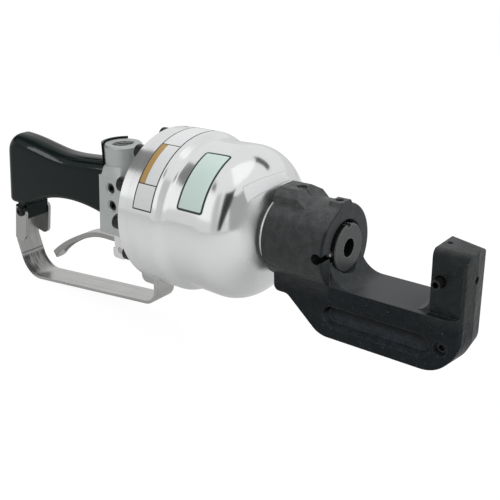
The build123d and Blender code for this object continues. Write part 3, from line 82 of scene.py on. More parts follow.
def add_camera():
    azimuth, elevation, roll = (math.radians(a) for a in (VIEW_AZIMUTH, VIEW_ELEVATION, VIEW_ROLL))
    flat = math.cos(elevation)
    back = Vector((math.sin(azimuth) * flat, -math.cos(azimuth) * flat, math.sin(elevation)))
    level = Vector((math.cos(azimuth), math.sin(azimuth), 0))
    above = back.cross(level)
    right = level * math.cos(roll) + above * math.sin(roll)
    up = above * math.cos(roll) - level * math.sin(roll)
    middle = FRAME_PIXELS / 2
    across = (TARGET_PIXEL[0] - middle) / FOCAL_PIXELS * DISTANCE
    down = (TARGET_PIXEL[1] - middle) / FOCAL_PIXELS * DISTANCE
    place = Matrix((right, up, back)).transposed().to_4x4()
    place.translation = back * DISTANCE - right * across + up * down
    camera = bpy.data.objects.new("camera", bpy.data.cameras.new("camera"))
    camera.data.sensor_width = SENSOR_MM
    camera.data.lens = FOCAL_PIXELS * SENSOR_MM / FRAME_PIXELS
    camera.matrix_world = place
    bpy.context.scene.collection.objects.link(camera)
    bpy.context.scene.camera = camera


class Graph:
    """A node tree with short calls: numbers set a socket, sockets are linked to it."""

    def __init__(self, tree):
        self.tree = tree

    def put(self, socket, value):
        if isinstance(value, bpy.types.NodeSocket):
            self.tree.links.new(value, socket)
        elif value is not None:
            socket.default_value = value

    def node(self, kind, values=(), **settings):
        made = self.tree.nodes.new(kind)
        for name, value in settings.items():
            setattr(made, name, value)
        for key, value in dict(values).items():
            self.put(made.inputs[key], value)
        return made

    def math(self, operation, first, second=None, third=None):
        values = {0: first, 1: second, 2: third}
        return self.node("ShaderNodeMath", values, operation=operation).outputs[0]

    def add(self, first, second):
        return self.math("ADD", first, second)

    def times(self, *factors):
        product = factors[0]
        for factor in factors[1:]:
            product = self.math("MULTIPLY", product, factor)
        return product

    def most(self, first, second):
        return self.math("MAXIMUM", first, second)

    def size(self, value):
        return self.math("ABSOLUTE", value)

    def distance(self, across, along):
        return self.math("SQRT", self.add(self.times(across, across), self.times(along, along)))

    def blend(self, share, first, second):
        """A number between two numbers."""
        return self.add(self.times(share, self.math("SUBTRACT", second, first)), first)

    def vector(self, x, y, z):
        return self.node("ShaderNodeCombineXYZ", {0: x, 1: y, 2: z}).outputs[0]

    def split(self, vector):
        return self.node("ShaderNodeSeparateXYZ", {0: vector}).outputs

    def noise(self, vector, scale, detail=2.0, roughness=0.5):
        values = {"Vector": vector, "Scale": scale, "Detail": detail, "Roughness": roughness}
        return self.node("ShaderNodeTexNoise", values).outputs["Fac"]

    def span(self, value, low, high, at_low=0.0, at_high=1.0):
        """A smooth step from at_low at the low value to at_high at the high one."""
        values = {"Value": value, "From Min": low, "From Max": high, "To Min": at_low, "To Max": at_high}
        return self.node("ShaderNodeMapRange", values, interpolation_type="SMOOTHSTEP").outputs[0]

    def within(self, value, low, high, blur):
        """1 between low and high, falling to 0 over blur on both sides."""
        return self.times(self.span(value, low - blur, low), self.span(value, high, high + blur, 1.0, 0.0))

    def mix(self, share, first, second):
        """A colour between two colours."""
        made = self.node("ShaderNodeMix", data_type="RGBA")
        self.put(made.inputs[0], share)
        self.put(made.inputs[6], rgba(first))
        self.put(made.inputs[7], rgba(second))
        return made.outputs[2]


def rgba(colour):
    if isinstance(colour, bpy.types.NodeSocket):
        return colour
    return (*colour, 1.0)


class Surface(Graph):
    """A material on the Principled shader, in the object's own metres."""

    def __init__(self, name, metallic, specular=0.5):
        self.material = bpy.data.materials.new(name)
        self.material.use_nodes = True
        super().__init__(self.material.node_tree)
        self.shader = self.tree.nodes["Principled BSDF"]
        self.shader.inputs["Metallic"].default_value = metallic
        self.shader.inputs["Specular IOR Level"].default_value = specular
        self.place = self.node("ShaderNodeTexCoord").outputs["Object"]
        self.x, self.y, self.z = self.split(self.place)

    def grain(self, scale, detail=2.0, roughness=0.5):
        """Noise of the same size in all directions."""
        return self.noise(self.place, scale, detail, roughness)

    def streaks(self, scales, detail=2.0, roughness=0.5):
        """Noise with a size of its own along X, Y and Z."""
        axes = [self.times(axis, scale) for axis, scale in zip((self.x, self.y, self.z), scales)]
        return self.noise(self.vector(*axes), 1.0, detail, roughness)

    def bump(self, height, depth_mm, strength=1.0, below=None):
        values = {"Height": height, "Distance": depth_mm * MM, "Strength": strength, "Normal": below}
        return self.node("ShaderNodeBump", values).outputs[0]

    def rounded(self, radius_mm):
        """The surface's normal with sharp edges rounded off."""
        return self.node("ShaderNodeBevel", {"Radius": radius_mm * MM}, samples=4).outputs[0]

    def edges(self, radius_mm):
        """1 on sharp edges, 0 on flat surfaces."""
        normals = {0: self.rounded(radius_mm), 1: self.node("ShaderNodeNewGeometry").outputs["Normal"]}
        facing = self.node("ShaderNodeVectorMath", normals, operation="DOT_PRODUCT")
        return self.span(facing.outputs["Value"], 0.98, 0.8)

    def done(self, colour, roughness, normal=None):
        self.put(self.shader.inputs["Base Color"], rgba(colour))
        self.put(self.shader.inputs["Roughness"], roughness)
        self.put(self.shader.inputs["Normal"], normal)
        return self.material


# The finishes change from place to place on the part. The places are in metres in the shared frame: the two
# values are where a zone begins and ends, or where a change begins and where it is complete
DOME_FRONT_X = (-0.074, -0.066)


def polished_aluminium():
    s = Surface("polished_aluminium", metallic=1.0)
    turning = s.streaks((2600, 6, 6), 3.0, 0.6)
    smudges = s.streaks((70, 9, 9), 4.0, 0.6)
    colour = s.mix(s.grain(22, 3.0), (0.80, 0.81, 0.81), (0.87, 0.875, 0.875))
    colour = s.mix(s.span(smudges, 0.58, 0.8, 0.0, 0.5), colour, (0.7, 0.705, 0.7))
    roughness = s.add(s.span(smudges, 0.3, 0.8, 0.09, 0.18), s.span(turning, 0.3, 0.7, -0.02, 0.03))
    # The dome's front was turned when the head's seat was cut, so it mirrors less sharply there
    roughness = s.add(roughness, s.span(s.x, *DOME_FRONT_X, 0.0, 0.2))
    return s.done(colour, roughness, s.bump(turning, 0.004, 0.5))


EARS_X = (-0.2545, -0.2345)
EARS_TOP_Z = (-0.0379, -0.0385)
PORT_AXIS_X = -0.2415
PORT_RADIUS = (0.0098, 0.0096)
PORT_FLOOR_Z = (0.0285, 0.029)
PORT_PITCH = 0.0016


def satin_aluminium():
    s = Surface("satin_aluminium", metallic=0.9)
    grain = s.grain(2400, 3.0, 0.65)
    colour = s.mix(s.grain(45, 3.0), (0.45, 0.475, 0.462), (0.55, 0.578, 0.562))
    # Sharp edges carry a painted highlight
    colour = s.mix(s.span(s.edges(0.7), 0.2, 1.0, 0.0, 0.45), colour, (0.68, 0.69, 0.68))
    # The trigger's ears are machined bright
    ears = s.times(s.within(s.x, *EARS_X, 0.0004), s.span(s.z, *EARS_TOP_Z))
    colour = s.mix(ears, colour, (0.82, 0.83, 0.82))
    # Thread turns inside the port in the top boss, their grooves darkened by painted shade
    from_axis = s.distance(s.add(s.x, -PORT_AXIS_X), s.y)
    in_port = s.times(s.span(from_axis, *PORT_RADIUS), s.span(s.z, *PORT_FLOOR_Z))
    turns = s.math("SINE", s.times(s.z, math.tau / PORT_PITCH))
    groove_shade = s.times(in_port, s.span(turns, -1.0, 0.4, 0.75, 0.0))
    colour = s.mix(groove_shade, colour, (0.05, 0.05, 0.05))
    normal = s.bump(s.times(turns, in_port), 0.5, 0.8, s.bump(grain, 0.03, 0.35))
    return s.done(colour, s.span(grain, 0.3, 0.7, 0.42, 0.56), normal)


THROAT_X = (-0.0032, 0.0763)
THROAT_FLOOR_Z = (-0.0256, -0.0252)
THROAT_HEEL_X = (0.022, 0.012)
ANVIL_X = (0.07, 0.074)
ANVIL_Z = (-0.034, -0.026)
ANVIL_TOP_Z = (0.034, 0.037)
POCKET_X = (-0.0092, 0.0812)
POCKET_Y = (0.0155, 0.0214)
POCKET_Z = (-0.0592, -0.0408)
POCKET_SHADE_Z = (-0.0445, -0.053)
COLLAR_X = (-0.002, -0.006)
COLLAR_Z = (-0.04, -0.015)
PAINTED_LIGHT_TOP_Z = (0.018, 0.026)
MOUTH_X = (-0.0031, -0.0034)
MOUTH_RADIUS = (0.0221, 0.0218)
SLOT_AXIS_X = -0.0075
SLOT_RADIUS = (0.00428, 0.00424)
SLOT_Z = (-0.00255, 0.00255)
SLOT_LENGTH = 0.0047
SLOT_Y = (-0.014, -0.016)
SEAM_Y = (-0.0004, 0.0004)


def forging_colour(s, throat, scale_pits, hammered, cutter):
    grainy = s.span(s.add(s.times(scale_pits, 0.6), s.times(hammered, 0.4)), 0.38, 0.62)
    forged = s.mix(grainy, (0.001, 0.003, 0.0045), (0.005, 0.009, 0.0115))
    # The anvil is a little greyer than the spine. The side pocket is painted lighter, a painted reflection on
    # its floor, and painted shade darkens it towards its upper wall
    anvil = s.times(s.span(s.x, *ANVIL_X), s.span(s.z, *ANVIL_Z))
    forged = s.mix(anvil, forged, s.mix(grainy, (0.008, 0.0115, 0.0115), (0.015, 0.0185, 0.0185)))
    in_pocket = s.times(
        s.within(s.x, *POCKET_X, 0.0004),
        s.within(s.z, *POCKET_Z, 0.0004),
        s.within(s.size(s.y), *POCKET_Y, 0.0002))
    pocket_light_and_shade = s.mix(grainy, (0.013, 0.018, 0.022), (0.032, 0.039, 0.046))
    pocket_light_and_shade = s.mix(s.span(s.z, *POCKET_SHADE_Z), (0.0008, 0.0012, 0.0015), pocket_light_and_shade)
    forged = s.mix(in_pocket, forged, pocket_light_and_shade)
    # The collar's upper part is greyer, partly its own skin and partly a painted sheen of the light from
    # above, and painted light makes the top faces of collar, lug and anvil lighter still
    collar = s.times(s.span(s.x, *COLLAR_X), s.span(s.z, *COLLAR_Z))
    forged = s.mix(collar, forged, s.mix(grainy, (0.028, 0.029, 0.03), (0.047, 0.049, 0.05)))
    top = s.mix(grainy, (0.045, 0.046, 0.047), (0.075, 0.077, 0.079))
    forged = s.mix(s.span(s.z, *PAINTED_LIGHT_TOP_Z), forged, top)
    specks = s.grain(620, 1.0)
    forged = s.mix(s.span(specks, 0.68, 0.76, 0.0, 0.5), forged, (0.08, 0.081, 0.082))
    machined = s.mix(cutter, (0.036, 0.038, 0.041), (0.053, 0.055, 0.06))
    heel = s.mix(grainy, (0.018, 0.021, 0.023), (0.032, 0.036, 0.039))
    machined = s.mix(s.span(s.x, *THROAT_HEEL_X), machined, heel)
    colour = s.mix(throat, forged, machined)
    # Painted shade: the mouth of the ram's bore and the keyhole slot beside it are dark inside
    bore_mouth_shade = s.times(s.span(s.distance(s.y, s.z), *MOUTH_RADIUS), s.span(s.x, *MOUTH_X))
    along = s.add(s.x, -SLOT_AXIS_X)
    cut = s.times(s.within(s.z, *SLOT_Z, 0.00003), s.within(along, 0.0, SLOT_LENGTH, 0.0001))
    keyhole_slot_shade = s.most(s.span(s.distance(along, s.z), *SLOT_RADIUS), cut)
    keyhole_slot_shade = s.times(keyhole_slot_shade, s.span(s.y, *SLOT_Y))
    colour = s.mix(s.times(s.most(bore_mouth_shade, keyhole_slot_shade), 0.9), colour, (0.003, 0.003, 0.0035))
    # Sharp edges are lighter, partly wear and partly painted highlight
    edge_wear_and_highlight = s.times(s.edges(1.0), s.span(scale_pits, 0.3, 0.7))
    return s.mix(edge_wear_and_highlight, colour, (0.12, 0.123, 0.126))


def black_forging():
    s = Surface("black_forging", metallic=0.0, specular=0.17)
    scale_pits = s.grain(900, 4.0, 0.65)
    hammered = s.grain(170, 3.0)
    cutter = s.streaks((1500, 25, 1500))
    # The throat between collar and anvil is machined, the rest is as forged
    throat = s.times(s.within(s.x, *THROAT_X, 0.0002), s.span(s.z, *THROAT_FLOOR_Z))
    colour = forging_colour(s, throat, scale_pits, hammered, cutter)
    rough_forged = s.span(scale_pits, 0.25, 0.75, 0.3, 0.52)
    roughness = s.blend(throat, rough_forged, s.span(cutter, 0.3, 0.7, 0.3, 0.38))
    relief = s.add(s.add(s.times(scale_pits, 0.3), hammered), s.times(s.grain(75), 1.6))
    relief = s.times(relief, s.span(throat, 0.0, 1.0, 1.0, 0.06))
    # The parting line of the forging dies, round the anvil and below the spine
    seam = s.times(s.within(s.y, *SEAM_Y, 0.0003), s.math("SUBTRACT", 1.0, throat))
    relief = s.add(relief, s.times(seam, 0.5))
    on_top = s.times(seam, s.span(s.z, *ANVIL_TOP_Z, 0.0, 0.8))
    colour = s.mix(on_top, colour, (0.006, 0.006, 0.006))
    return s.done(colour, roughness, s.bump(relief, 0.9, 0.8, s.rounded(1.4)))


RAM_SIDE_RADIUS = (0.01882, 0.01892)
SOCKET_RADIUS = (0.0077, 0.0076)
SOCKET_X = (-0.0004, -0.0012)


def black_ram():
    s = Surface("black_ram", metallic=0.0, specular=0.4)
    from_axis = s.distance(s.y, s.z)
    facing = s.noise(s.vector(s.times(from_axis, 2600), 0.0, 0.0), 1.0)
    colour = s.mix(facing, (0.03, 0.032, 0.033), (0.05, 0.053, 0.055))
    # Painted shade: the side that slides in the collar and the socket for the die are darker than the face,
    # for the shade in the bore and in the socket
    socket = s.times(s.span(from_axis, *SOCKET_RADIUS), s.span(s.x, *SOCKET_X))
    ram_side_shade = s.times(s.most(s.span(from_axis, *RAM_SIDE_RADIUS), socket), 0.92)
    colour = s.mix(ram_side_shade, colour, (0.003, 0.003, 0.0035))
    # Rubbed streaks are wear; sharp edges are lighter, partly wear and partly painted highlight
    rubs = s.span(s.streaks((40, 700, 700), 3.0), 0.62, 0.8, 0.0, 0.12)
    edge_wear_and_highlight = s.most(s.times(s.edges(0.7), 0.85), rubs)
    colour = s.mix(edge_wear_and_highlight, colour, (0.4, 0.4, 0.405))
    return s.done(colour, s.span(facing, 0.3, 0.7, 0.3, 0.4), s.bump(facing, 0.01, 0.4))


def black_grip():
    s = Surface("black_grip", metallic=0.0, specular=0.14)
    waves = s.grain(60)
    handling = s.streaks((30, 45, 45), 4.0, 0.6)
    colour = s.mix(waves, (0.002, 0.006, 0.0055), (0.004, 0.009, 0.0085))
    relief = s.add(s.grain(420), s.times(waves, 1.5))
    return s.done(colour, s.span(handling, 0.35, 0.75, 0.05, 0.1), s.bump(relief, 0.03, 0.2))


STRAP_REAR_X = (-0.36, -0.375)
STRAP_UPRIGHT_Z = (-0.112, -0.098)
STRAP_WEB_Y = (0.0134, 0.0133)
STRAP_WEB_Z = (-0.114, -0.096)
STRAP_MARK_Z = (-0.0962, -0.0955)
STRAP_HEEL_X = (-0.378, -0.392)
STRAP_HEEL_Z = (-0.117, -0.101)
STRAP_STREAK_Y = (0.005, 0.013)
LEVER_X = (-0.359, -0.243)
LEVER_SIDE_Y = (0.0068, 0.0074)


def bright_steel():
    s = Surface("bright_steel", metallic=1.0)
    brushing = s.streaks((14, 2300, 14), 3.0, 0.65)
    aside = s.size(s.y)
    rear = s.span(s.x, *STRAP_REAR_X)
    colour = s.mix(s.grain(40, 3.0), (0.47, 0.47, 0.46), (0.58, 0.58, 0.57))
    colour = s.mix(s.span(brushing, 0.55, 0.8, 0.0, 0.5), colour, (0.36, 0.36, 0.36))
    # The strap's upright part is painted darker, a painted reflection of the dark parts it faces, and painted
    # shade darkens the inside of its web most, in streaks
    upright_shade = s.times(rear, s.span(s.z, *STRAP_UPRIGHT_Z))
    colour = s.mix(s.times(upright_shade, 0.55), colour, (0.31, 0.315, 0.31))
    web_shade = s.times(rear, s.span(aside, *STRAP_WEB_Y), s.span(s.z, *STRAP_WEB_Z))
    streaks = s.streaks((30, 500, 30), 3.0, 0.6)
    colour = s.mix(s.times(web_shade, s.span(streaks, 0.3, 0.7, 0.0, 0.35)), colour, (0.2, 0.2, 0.195))
    # A bend mark runs across it, and its heel is darker in streaks
    mark = s.times(rear, s.within(s.z, *STRAP_MARK_Z, 0.0005), 0.8)
    colour = s.mix(mark, colour, (0.07, 0.07, 0.07))
    heel = s.times(s.span(s.x, *STRAP_HEEL_X), s.within(s.z, *STRAP_HEEL_Z, 0.004))
    heel_streaks = s.streaks((60, 420, 60), 4.0, 0.6)
    heel_streaks = s.add(s.times(s.span(aside, *STRAP_STREAK_Y), 0.25), heel_streaks)
    colour = s.mix(s.times(heel, s.span(heel_streaks, 0.38, 0.7, 0.45, 0.95)), colour, (0.05, 0.05, 0.05))
    # The lever's sides are painted darker than its top, as painted shade
    lever_side_shade = s.times(s.within(s.x, *LEVER_X, 0.001), s.within(aside, *LEVER_SIDE_Y, 0.0001))
    colour = s.mix(s.times(lever_side_shade, 0.55), colour, (0.22, 0.22, 0.22))
    # Sharp edges carry a painted highlight
    colour = s.mix(s.span(s.edges(0.5), 0.1, 1.0, 0.0, 0.6), colour, (0.85, 0.85, 0.84))
    # Painted shadow: a dark line along the lower edge of the lever's sides, where shade falls under it
    low_edge_shadow = s.span(s.split(s.rounded(1.0))[2], -0.1, -0.3)
    colour = s.mix(s.times(lever_side_shade, low_edge_shadow), colour, (0.012, 0.012, 0.012))
    return s.done(colour, s.span(brushing, 0.3, 0.7, 0.24, 0.36), s.bump(brushing, 0.015, 0.4))


def dark_metal(name, low, high, roughness, specular):
    s = Surface(name, metallic=0.0, specular=specular)
    speckle = s.grain(1700, 3.0)
    colour = s.mix(speckle, low, high)
    # Sharp edges carry a painted highlight
    colour = s.mix(s.times(s.edges(0.4), 0.5), colour, (0.16, 0.16, 0.162))
    varied = s.span(speckle, 0.3, 0.7, roughness - 0.05, roughness + 0.08)
    return s.done(colour, varied, s.bump(speckle, 0.012, 0.4))


def turned_metal(name, low, high, roughness):
    s = Surface(name, metallic=1.0)
    turning = s.streaks((1900, 30, 1900))
    varied = s.span(turning, 0.3, 0.7, roughness - 0.06, roughness + 0.06)
    return s.done(s.mix(s.grain(90, 3.0), low, high), varied, s.bump(turning, 0.008, 0.4))


def soft_solid(name, low, high, roughness):
    s = Surface(name, metallic=0.0, specular=0.4)
    grain = s.grain(1300, 3.0)
    varied = s.span(grain, 0.3, 0.7, roughness - 0.06, roughness + 0.06)
    return s.done(s.mix(grain, low, high), varied, s.bump(grain, 0.01, 0.3))


def dress_nodes():
    black_screw = ((0.004, 0.004, 0.0045), (0.01, 0.01, 0.011))
    finishes = {
        "polished_aluminium": polished_aluminium(),
        "satin_aluminium": satin_aluminium(),
        "black_forging": black_forging(),
        "black_ram": black_ram(),
        "black_grip": black_grip(),
        "bright_steel": bright_steel(),
        "plain_steel": turned_metal("plain_steel", (0.42, 0.42, 0.42), (0.54, 0.54, 0.53), 0.3),
        "black_fasteners": dark_metal("black_fasteners", *black_screw, 0.34, 0.28),
        "bronze": turned_metal("bronze", (0.5, 0.34, 0.16), (0.66, 0.47, 0.25), 0.32),
        "bearing_plastic": soft_solid("bearing_plastic", (0.2, 0.15, 0.1), (0.28, 0.22, 0.15), 0.5),
        "seal_rubber": soft_solid("seal_rubber", (0.012, 0.012, 0.012), (0.03, 0.03, 0.03), 0.55),
    }
    for entry in frame["record"]["subparts"]:
        # The screw that locks the head was painted together with it
        finish = "black_forging" if entry["node"] == "head_lock_screw" else entry["material_slot"]
        mesh = nodes[entry["node"]].data
        mesh.materials.clear()
        mesh.materials.append(finishes[finish])


def add_spring():
    """The spool's spring, as a mesh of its own on the body in place of the part's own."""
    spring = bpy.data.objects.new("spring_coil", nodes["spool_spring"].data.copy())
    bpy.context.scene.collection.objects.link(spring)
    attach(spring, "body")
    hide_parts("spool_spring")
    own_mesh(spring)


# The housing's outline in millimetres along X: rear barrel, waist, dome
BARREL_RADIUS = 69.0
BARREL_END_X = -143.0
WAIST_X = -129.0
WAIST_RADIUS = 63.8
DOME_X = -99.5
DOME_RADIUS = 64.5
DOME_LENGTH = 42.0


def housing_radius(x):
    def ease(low, high):
        t = (x - low) / (high - low)
        return t * t * (3 - 2 * t)

    if x < BARREL_END_X:
        return BARREL_RADIUS
    if x < WAIST_X:
        return BARREL_RADIUS + (WAIST_RADIUS - BARREL_RADIUS) * ease(BARREL_END_X, WAIST_X)
    if x < DOME_X:
        return WAIST_RADIUS + (DOME_RADIUS - WAIST_RADIUS) * ease(WAIST_X, DOME_X)
    return DOME_RADIUS * math.sqrt(max(0.0, 1 - ((x - DOME_X) / DOME_LENGTH) ** 2))


def on_housing(x, angle, lift):
    radius = housing_radius(x) + lift
    turn = math.radians(angle)
    return Vector((x, radius * math.cos(turn), radius * math.sin(turn))) * MM


# How far a label stands out of the housing and reaches into it, in millimetres, and its mesh's divisions
LABEL_LIFT = 0.16
LABEL_SUNK = -0.2
LABEL_ROWS = 48
LABEL_COLUMNS = 12
CORNER_ROWS = 6


def label_rows(length, corner_radius):
    """Where the plate's rows lie from 0 to 1 along it, closer together at its round corners."""
    corner = [corner_radius / length * k / CORNER_ROWS for k in range(CORNER_ROWS + 1)]
    rows = {i / LABEL_ROWS for i in range(LABEL_ROWS + 1)} | set(corner) | {1 - v for v in corner}
    rows = sorted(rows)
    return [v for v, after in zip(rows, rows[1:] + [2.0]) if after - v > 1e-6]


def corner_inset(to_end, radius):
    """How far the round corner draws the plate's side in, at a distance from its end."""
    if to_end >= radius:
        return 0.0
    return radius - math.sqrt(max(0.0, radius ** 2 - (radius - to_end) ** 2))


def label_plate(name, corners, corner_radius, material, bulge=0.0):
    """A closed curved plate on the housing between four (X, angle) corners, counted round it, with its size
    in the UV map. Its middle lies further forward by the bulge, as a straight strip does on a dome."""
    def at(u, v, lift):
        low = [corners[0][i] * (1 - u) + corners[1][i] * u for i in (0, 1)]
        high = [corners[3][i] * (1 - u) + corners[2][i] * u for i in (0, 1)]
        x = low[0] * (1 - v) + high[0] * v + bulge * 4 * v * (1 - v)
        return on_housing(x, low[1] * (1 - v) + high[1] * v, lift)

    width = (at(0, 0.5, 0) - at(1, 0.5, 0)).length / MM
    reach = [at(0.5, i / LABEL_ROWS, 0) for i in range(LABEL_ROWS + 1)]
    length = sum((b - a).length for a, b in zip(reach, reach[1:])) / MM
    rows = label_rows(length, corner_radius)
    made = bmesh.new()
    uv = made.loops.layers.uv.new("size_mm")
    grids, sizes = [], {}
    for lift in (LABEL_LIFT, LABEL_SUNK):
        grid = []
        for v in rows:
            inset = corner_inset(min(v, 1 - v) * length, corner_radius) / width
            line = []
            for column in range(LABEL_COLUMNS + 1):
                u = inset + column / LABEL_COLUMNS * (1 - 2 * inset)
                vertex = made.verts.new(at(u, v, lift))
                sizes[vertex] = ((u - 0.5) * width, (v - 0.5) * length)
                line.append(vertex)
            grid.append(line)
        grids.append(grid)
    top, bottom = grids
    last = len(rows) - 1
    for j in range(last):
        for i in range(LABEL_COLUMNS):
            made.faces.new((top[j][i], top[j][i + 1], top[j + 1][i + 1], top[j + 1][i]))
            made.faces.new((bottom[j][i], bottom[j + 1][i], bottom[j + 1][i + 1], bottom[j][i + 1]))
    rim = [(0, i) for i in range(LABEL_COLUMNS)] + [(j, LABEL_COLUMNS) for j in range(last)]
    rim += [(last, i) for i in range(LABEL_COLUMNS, 0, -1)] + [(j, 0) for j in range(last, 0, -1)]
    for (j, i), (n, m) in zip(rim, rim[1:] + rim[:1]):
        made.faces.new((top[j][i], bottom[j][i], bottom[n][m], top[n][m]))
    bmesh.ops.recalc_face_normals(made, faces=made.faces)
    for face in made.faces:
        face.smooth = True
        for loop in face.loops:
            loop[uv].uv = sizes[loop.vert]
    mesh = bpy.data.meshes.new(name)
    made.to_mesh(mesh)
    made.free()
    piece = bpy.data.objects.new(name, mesh)
    bpy.context.scene.collection.objects.link(piece)
    mesh.materials.append(material(width, length))
    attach(piece, "body")


def label_finish(name, paper, line, inset, line_width, corner, stripe=None):
    """A plain plate with a frame line, and one plain stripe between two bars where it is given. Sizes are in
    millimetres from the plate's middle."""
    def build(width, length):
        s = Surface(name, metallic=0.0)
        u, v, _ = s.split(s.node("ShaderNodeUVMap", uv_map="size_mm").outputs[0])
        grain = s.grain(900, 3.0)
        scuffs = s.grain(160, 4.0, 0.65)
        # Distance from the frame line, a rectangle with round corners: less than 0 inside it
        beyond_u = s.math("SUBTRACT", s.size(u), width / 2 - inset - corner)
        beyond_v = s.math("SUBTRACT", s.size(v), length / 2 - inset - corner)
        outside = s.distance(s.most(beyond_u, 0.0), s.most(beyond_v, 0.0))
        inside = s.math("MINIMUM", s.most(beyond_u, beyond_v), 0.0)
        from_frame = s.math("SUBTRACT", s.add(outside, inside), corner)
        colour = s.mix(grain, paper, [c * 0.93 for c in paper])
        if stripe:
            in_stripe = s.times(s.within(u, *stripe["u"], 0.08), s.within(v, *stripe["v"], 0.08))
            colour = s.mix(in_stripe, colour, stripe["colour"])
            for end in stripe["v"]:
                bar = s.times(s.within(v, end - 0.35, end + 0.35, 0.2), s.span(from_frame, 0.0, -0.2))
                colour = s.mix(bar, colour, line)
        on_line = s.span(s.size(from_frame), line_width * 0.35, line_width * 0.6, 1.0, 0.0)
        colour = s.mix(on_line, colour, line)
        colour = s.mix(s.span(scuffs, 0.62, 0.8, 0.0, 0.35), colour, [c * 0.8 for c in paper])
        return s.done(colour, s.span(scuffs, 0.3, 0.7, 0.26, 0.42), s.bump(grain, 0.008, 0.3))
    return build


def add_labels():
    stripe = {"u": (-9.6, -3.2), "v": (-30.7, 9.0), "colour": (0.40, 0.25, 0.08)}
    white = label_finish("label_white", (0.7, 0.72, 0.72), (0.012, 0.014, 0.018), 0.8, 1.15, 0.4, stripe)
    green = label_finish("label_green", (0.58, 0.7, 0.66), (0.006, 0.016, 0.014), 1.1, 1.8, 1.8)
    silver = label_finish("label_silver", (0.66, 0.665, 0.67), (0.45, 0.45, 0.45), 0.4, 0.4, 0.5)
    label_plate("label_rear", [(-163, 165), (-141.5, 165), (-141.5, 78), (-163, 78)], 0.6, white)
    label_plate("label_waist", [(-121, 158.5), (-94, 158.5), (-94, 108.5), (-121, 108.5)], 2.4, green)
    label_plate("label_dome", [(-75.8, 127), (-69.9, 137.5), (-66.8, 65), (-70.8, 71)], 0.6, silver, 2.9)


FLOOR_SIZE = 4.0
FLOOR_DROP = 0.0003


def add_floor():
    mesh = bpy.data.meshes.new("floor")
    made = bmesh.new()
    bmesh.ops.create_grid(made, x_segments=8, y_segments=8, size=FLOOR_SIZE)
    made.to_mesh(mesh)
    made.free()
    floor = bpy.data.objects.new("floor", mesh)
    floor.location = (0, 0, cad_box[0][2] - FLOOR_DROP)
    bpy.context.scene.collection.objects.link(floor)
    material = bpy.data.materials.new("floor")
    material.use_nodes = True
    g = Graph(material.node_tree)
    out = material.node_tree.nodes["Material Output"]
    material.node_tree.nodes.remove(material.node_tree.nodes["Principled BSDF"])
    ray = g.node("ShaderNodeLightPath").outputs
    lit = g.node("ShaderNodeBsdfDiffuse", {"Color": (0.74, 0.74, 0.74, 1)}).outputs[0]
    white = g.node("ShaderNodeEmission", {"Color": (1, 1, 1, 1), "Strength": 1.07}).outputs[0]
    grey = g.node("ShaderNodeEmission", {"Color": (0.58, 0.58, 0.58, 1), "Strength": 1.0}).outputs[0]
    mirrored = g.times(ray["Is Glossy Ray"], 0.3)
    plain = g.node("ShaderNodeMixShader", {0: mirrored, 1: lit, 2: grey}).outputs[0]
    seen = g.times(g.most(ray["Is Camera Ray"], ray["Is Transmission Ray"]), 0.88)
    g.put(out.inputs["Surface"], g.node("ShaderNodeMixShader", {0: seen, 1: plain, 2: white}).outputs[0])
    mesh.materials.append(material)


# The studio round the tool, as polished metal mirrors it: soft boxes and dark gaps between them. Each has its
# azimuth, its lowest and highest elevation, its half width, how far it leans and widens per degree of height,
# the blur of its edge, all in degrees, and its brightness
STUDIO = [
    (-112, 14, 47, 32, 0.0, 0.0, 5, 1.0),
    (-165, 38, 51, 19, 0.0, 0.0, 6, 0.22),
    (-108, 54, 61, 13, -0.8, 0.0, 6, 0.28),
    (-178, 12, 33, 24, 0.0, 0.0, 5, 0.05),
    (-66, 2, 47, 8, 0.0, 0.0, 9, 0.56),
    (-14, -4, 37, 20, 0.0, 0.0, 6, 0.4),
    (-44, 2, 47, 9, 0.45, 0.22, 5, 0.04),
    (68, 34, 50, 8, 0.9, 0.3, 5, 0.1),
    (25, 56, 90, 45, 0.0, 0.0, 10, 1.08),
]
LOW_ROOM = 0.72
HIGH_ROOM = 0.85


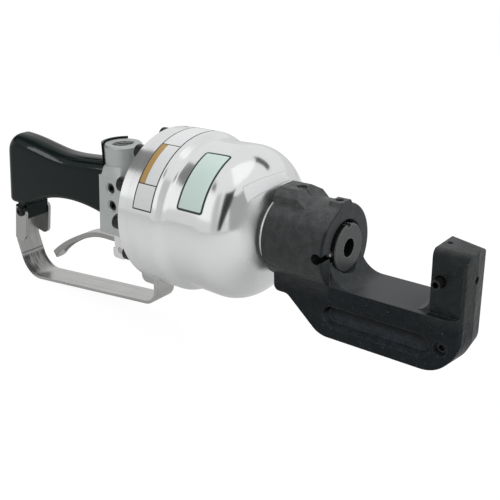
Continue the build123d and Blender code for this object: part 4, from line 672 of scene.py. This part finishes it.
def add_world():
    world = bpy.data.worlds.new("studio")
    bpy.context.scene.world = world
    world.use_nodes = True
    g = Graph(world.node_tree)
    background = world.node_tree.nodes["Background"]
    ray = g.node("ShaderNodeLightPath").outputs
    x, y, z = g.split(g.node("ShaderNodeTexCoord").outputs["Generated"])
    turn = g.math("DEGREES", g.math("ARCTAN2", y, x))
    height = g.math("DEGREES", g.math("ARCSINE", z))
    mirrored = g.span(height, 8, 16, LOW_ROOM, HIGH_ROOM)
    for azimuth, low, high, half, lean, widen, blur, level in STUDIO:
        above = g.math("SUBTRACT", height, (low + high) / 2)
        middle = g.add(g.times(above, lean), float(azimuth))
        aside = g.size(g.math("WRAP", g.math("SUBTRACT", turn, middle), -180.0, 180.0))
        beyond = g.math("SUBTRACT", aside, g.add(g.times(above, widen), float(half)))
        share = g.span(beyond, -blur / 2, blur / 2, 1.0, 0.0)
        share = g.times(share, g.within(height, low, high, blur * 0.6))
        mirrored = g.blend(share, mirrored, level)
    lighting = g.span(z, -0.4, 0.9, 0.42, 0.8)
    strength = g.blend(ray["Is Glossy Ray"], lighting, mirrored)
    seen = g.most(ray["Is Camera Ray"], ray["Is Transmission Ray"])
    background.inputs["Color"].default_value = (1, 1, 1, 1)
    g.put(background.inputs["Strength"], g.blend(seen, strength, 1.0))


# Soft lamps: name, place and size in metres, power in watts
LAMPS = [
    ("key", (0.3, 0.5, 1.5), (1.6, 1.6), 13.0),
    ("side", (1.5, -0.4, 0.7), (1.2, 1.2), 6.0),
]
LAMP_TARGET = (-0.15, 0.0, -0.02)
# A narrow strip light for the grip alone, which draws the gleam along its upper edge: its direction from the
# grip in degrees, its distance and size in metres and its power in watts
STRIP_AZIMUTH = -134.5
STRIP_ELEVATION = 20.0
STRIP_DISTANCE = 1.2
STRIP_SIZE = (0.175, 0.5)
STRIP_POWER = 1.6


def area_lamp(name, place, target, size, power):
    lamp = bpy.data.objects.new(name, bpy.data.lights.new(name, "AREA"))
    lamp.data.shape = "RECTANGLE"
    lamp.data.size, lamp.data.size_y = size
    lamp.data.energy = power
    lamp.location = place
    lamp.rotation_euler = (Vector(target) - Vector(place)).to_track_quat("-Z", "Y").to_euler()
    bpy.context.scene.collection.objects.link(lamp)
    return lamp


def add_lamps():
    for name, place, size, power in LAMPS:
        area_lamp(name, place, LAMP_TARGET, size, power).visible_glossy = False
    low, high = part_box("handle_grip")
    middle = (Vector(low) + Vector(high)) / 2
    turn, height = math.radians(STRIP_AZIMUTH), math.radians(STRIP_ELEVATION)
    flat = math.cos(height)
    toward = Vector((flat * math.cos(turn), flat * math.sin(turn), math.sin(height)))
    strip = area_lamp("grip_strip", middle + toward * STRIP_DISTANCE, middle, STRIP_SIZE, STRIP_POWER)
    lit = bpy.data.collections.new("lit_by_grip_strip")
    lit.objects.link(nodes["handle_grip"])
    strip.light_linking.receiver_collection = lit


add_camera()
dress_nodes()
add_spring()
add_labels()
add_floor()
add_world()
add_lamps()
bpy.context.scene.view_settings.view_transform = "Standard"
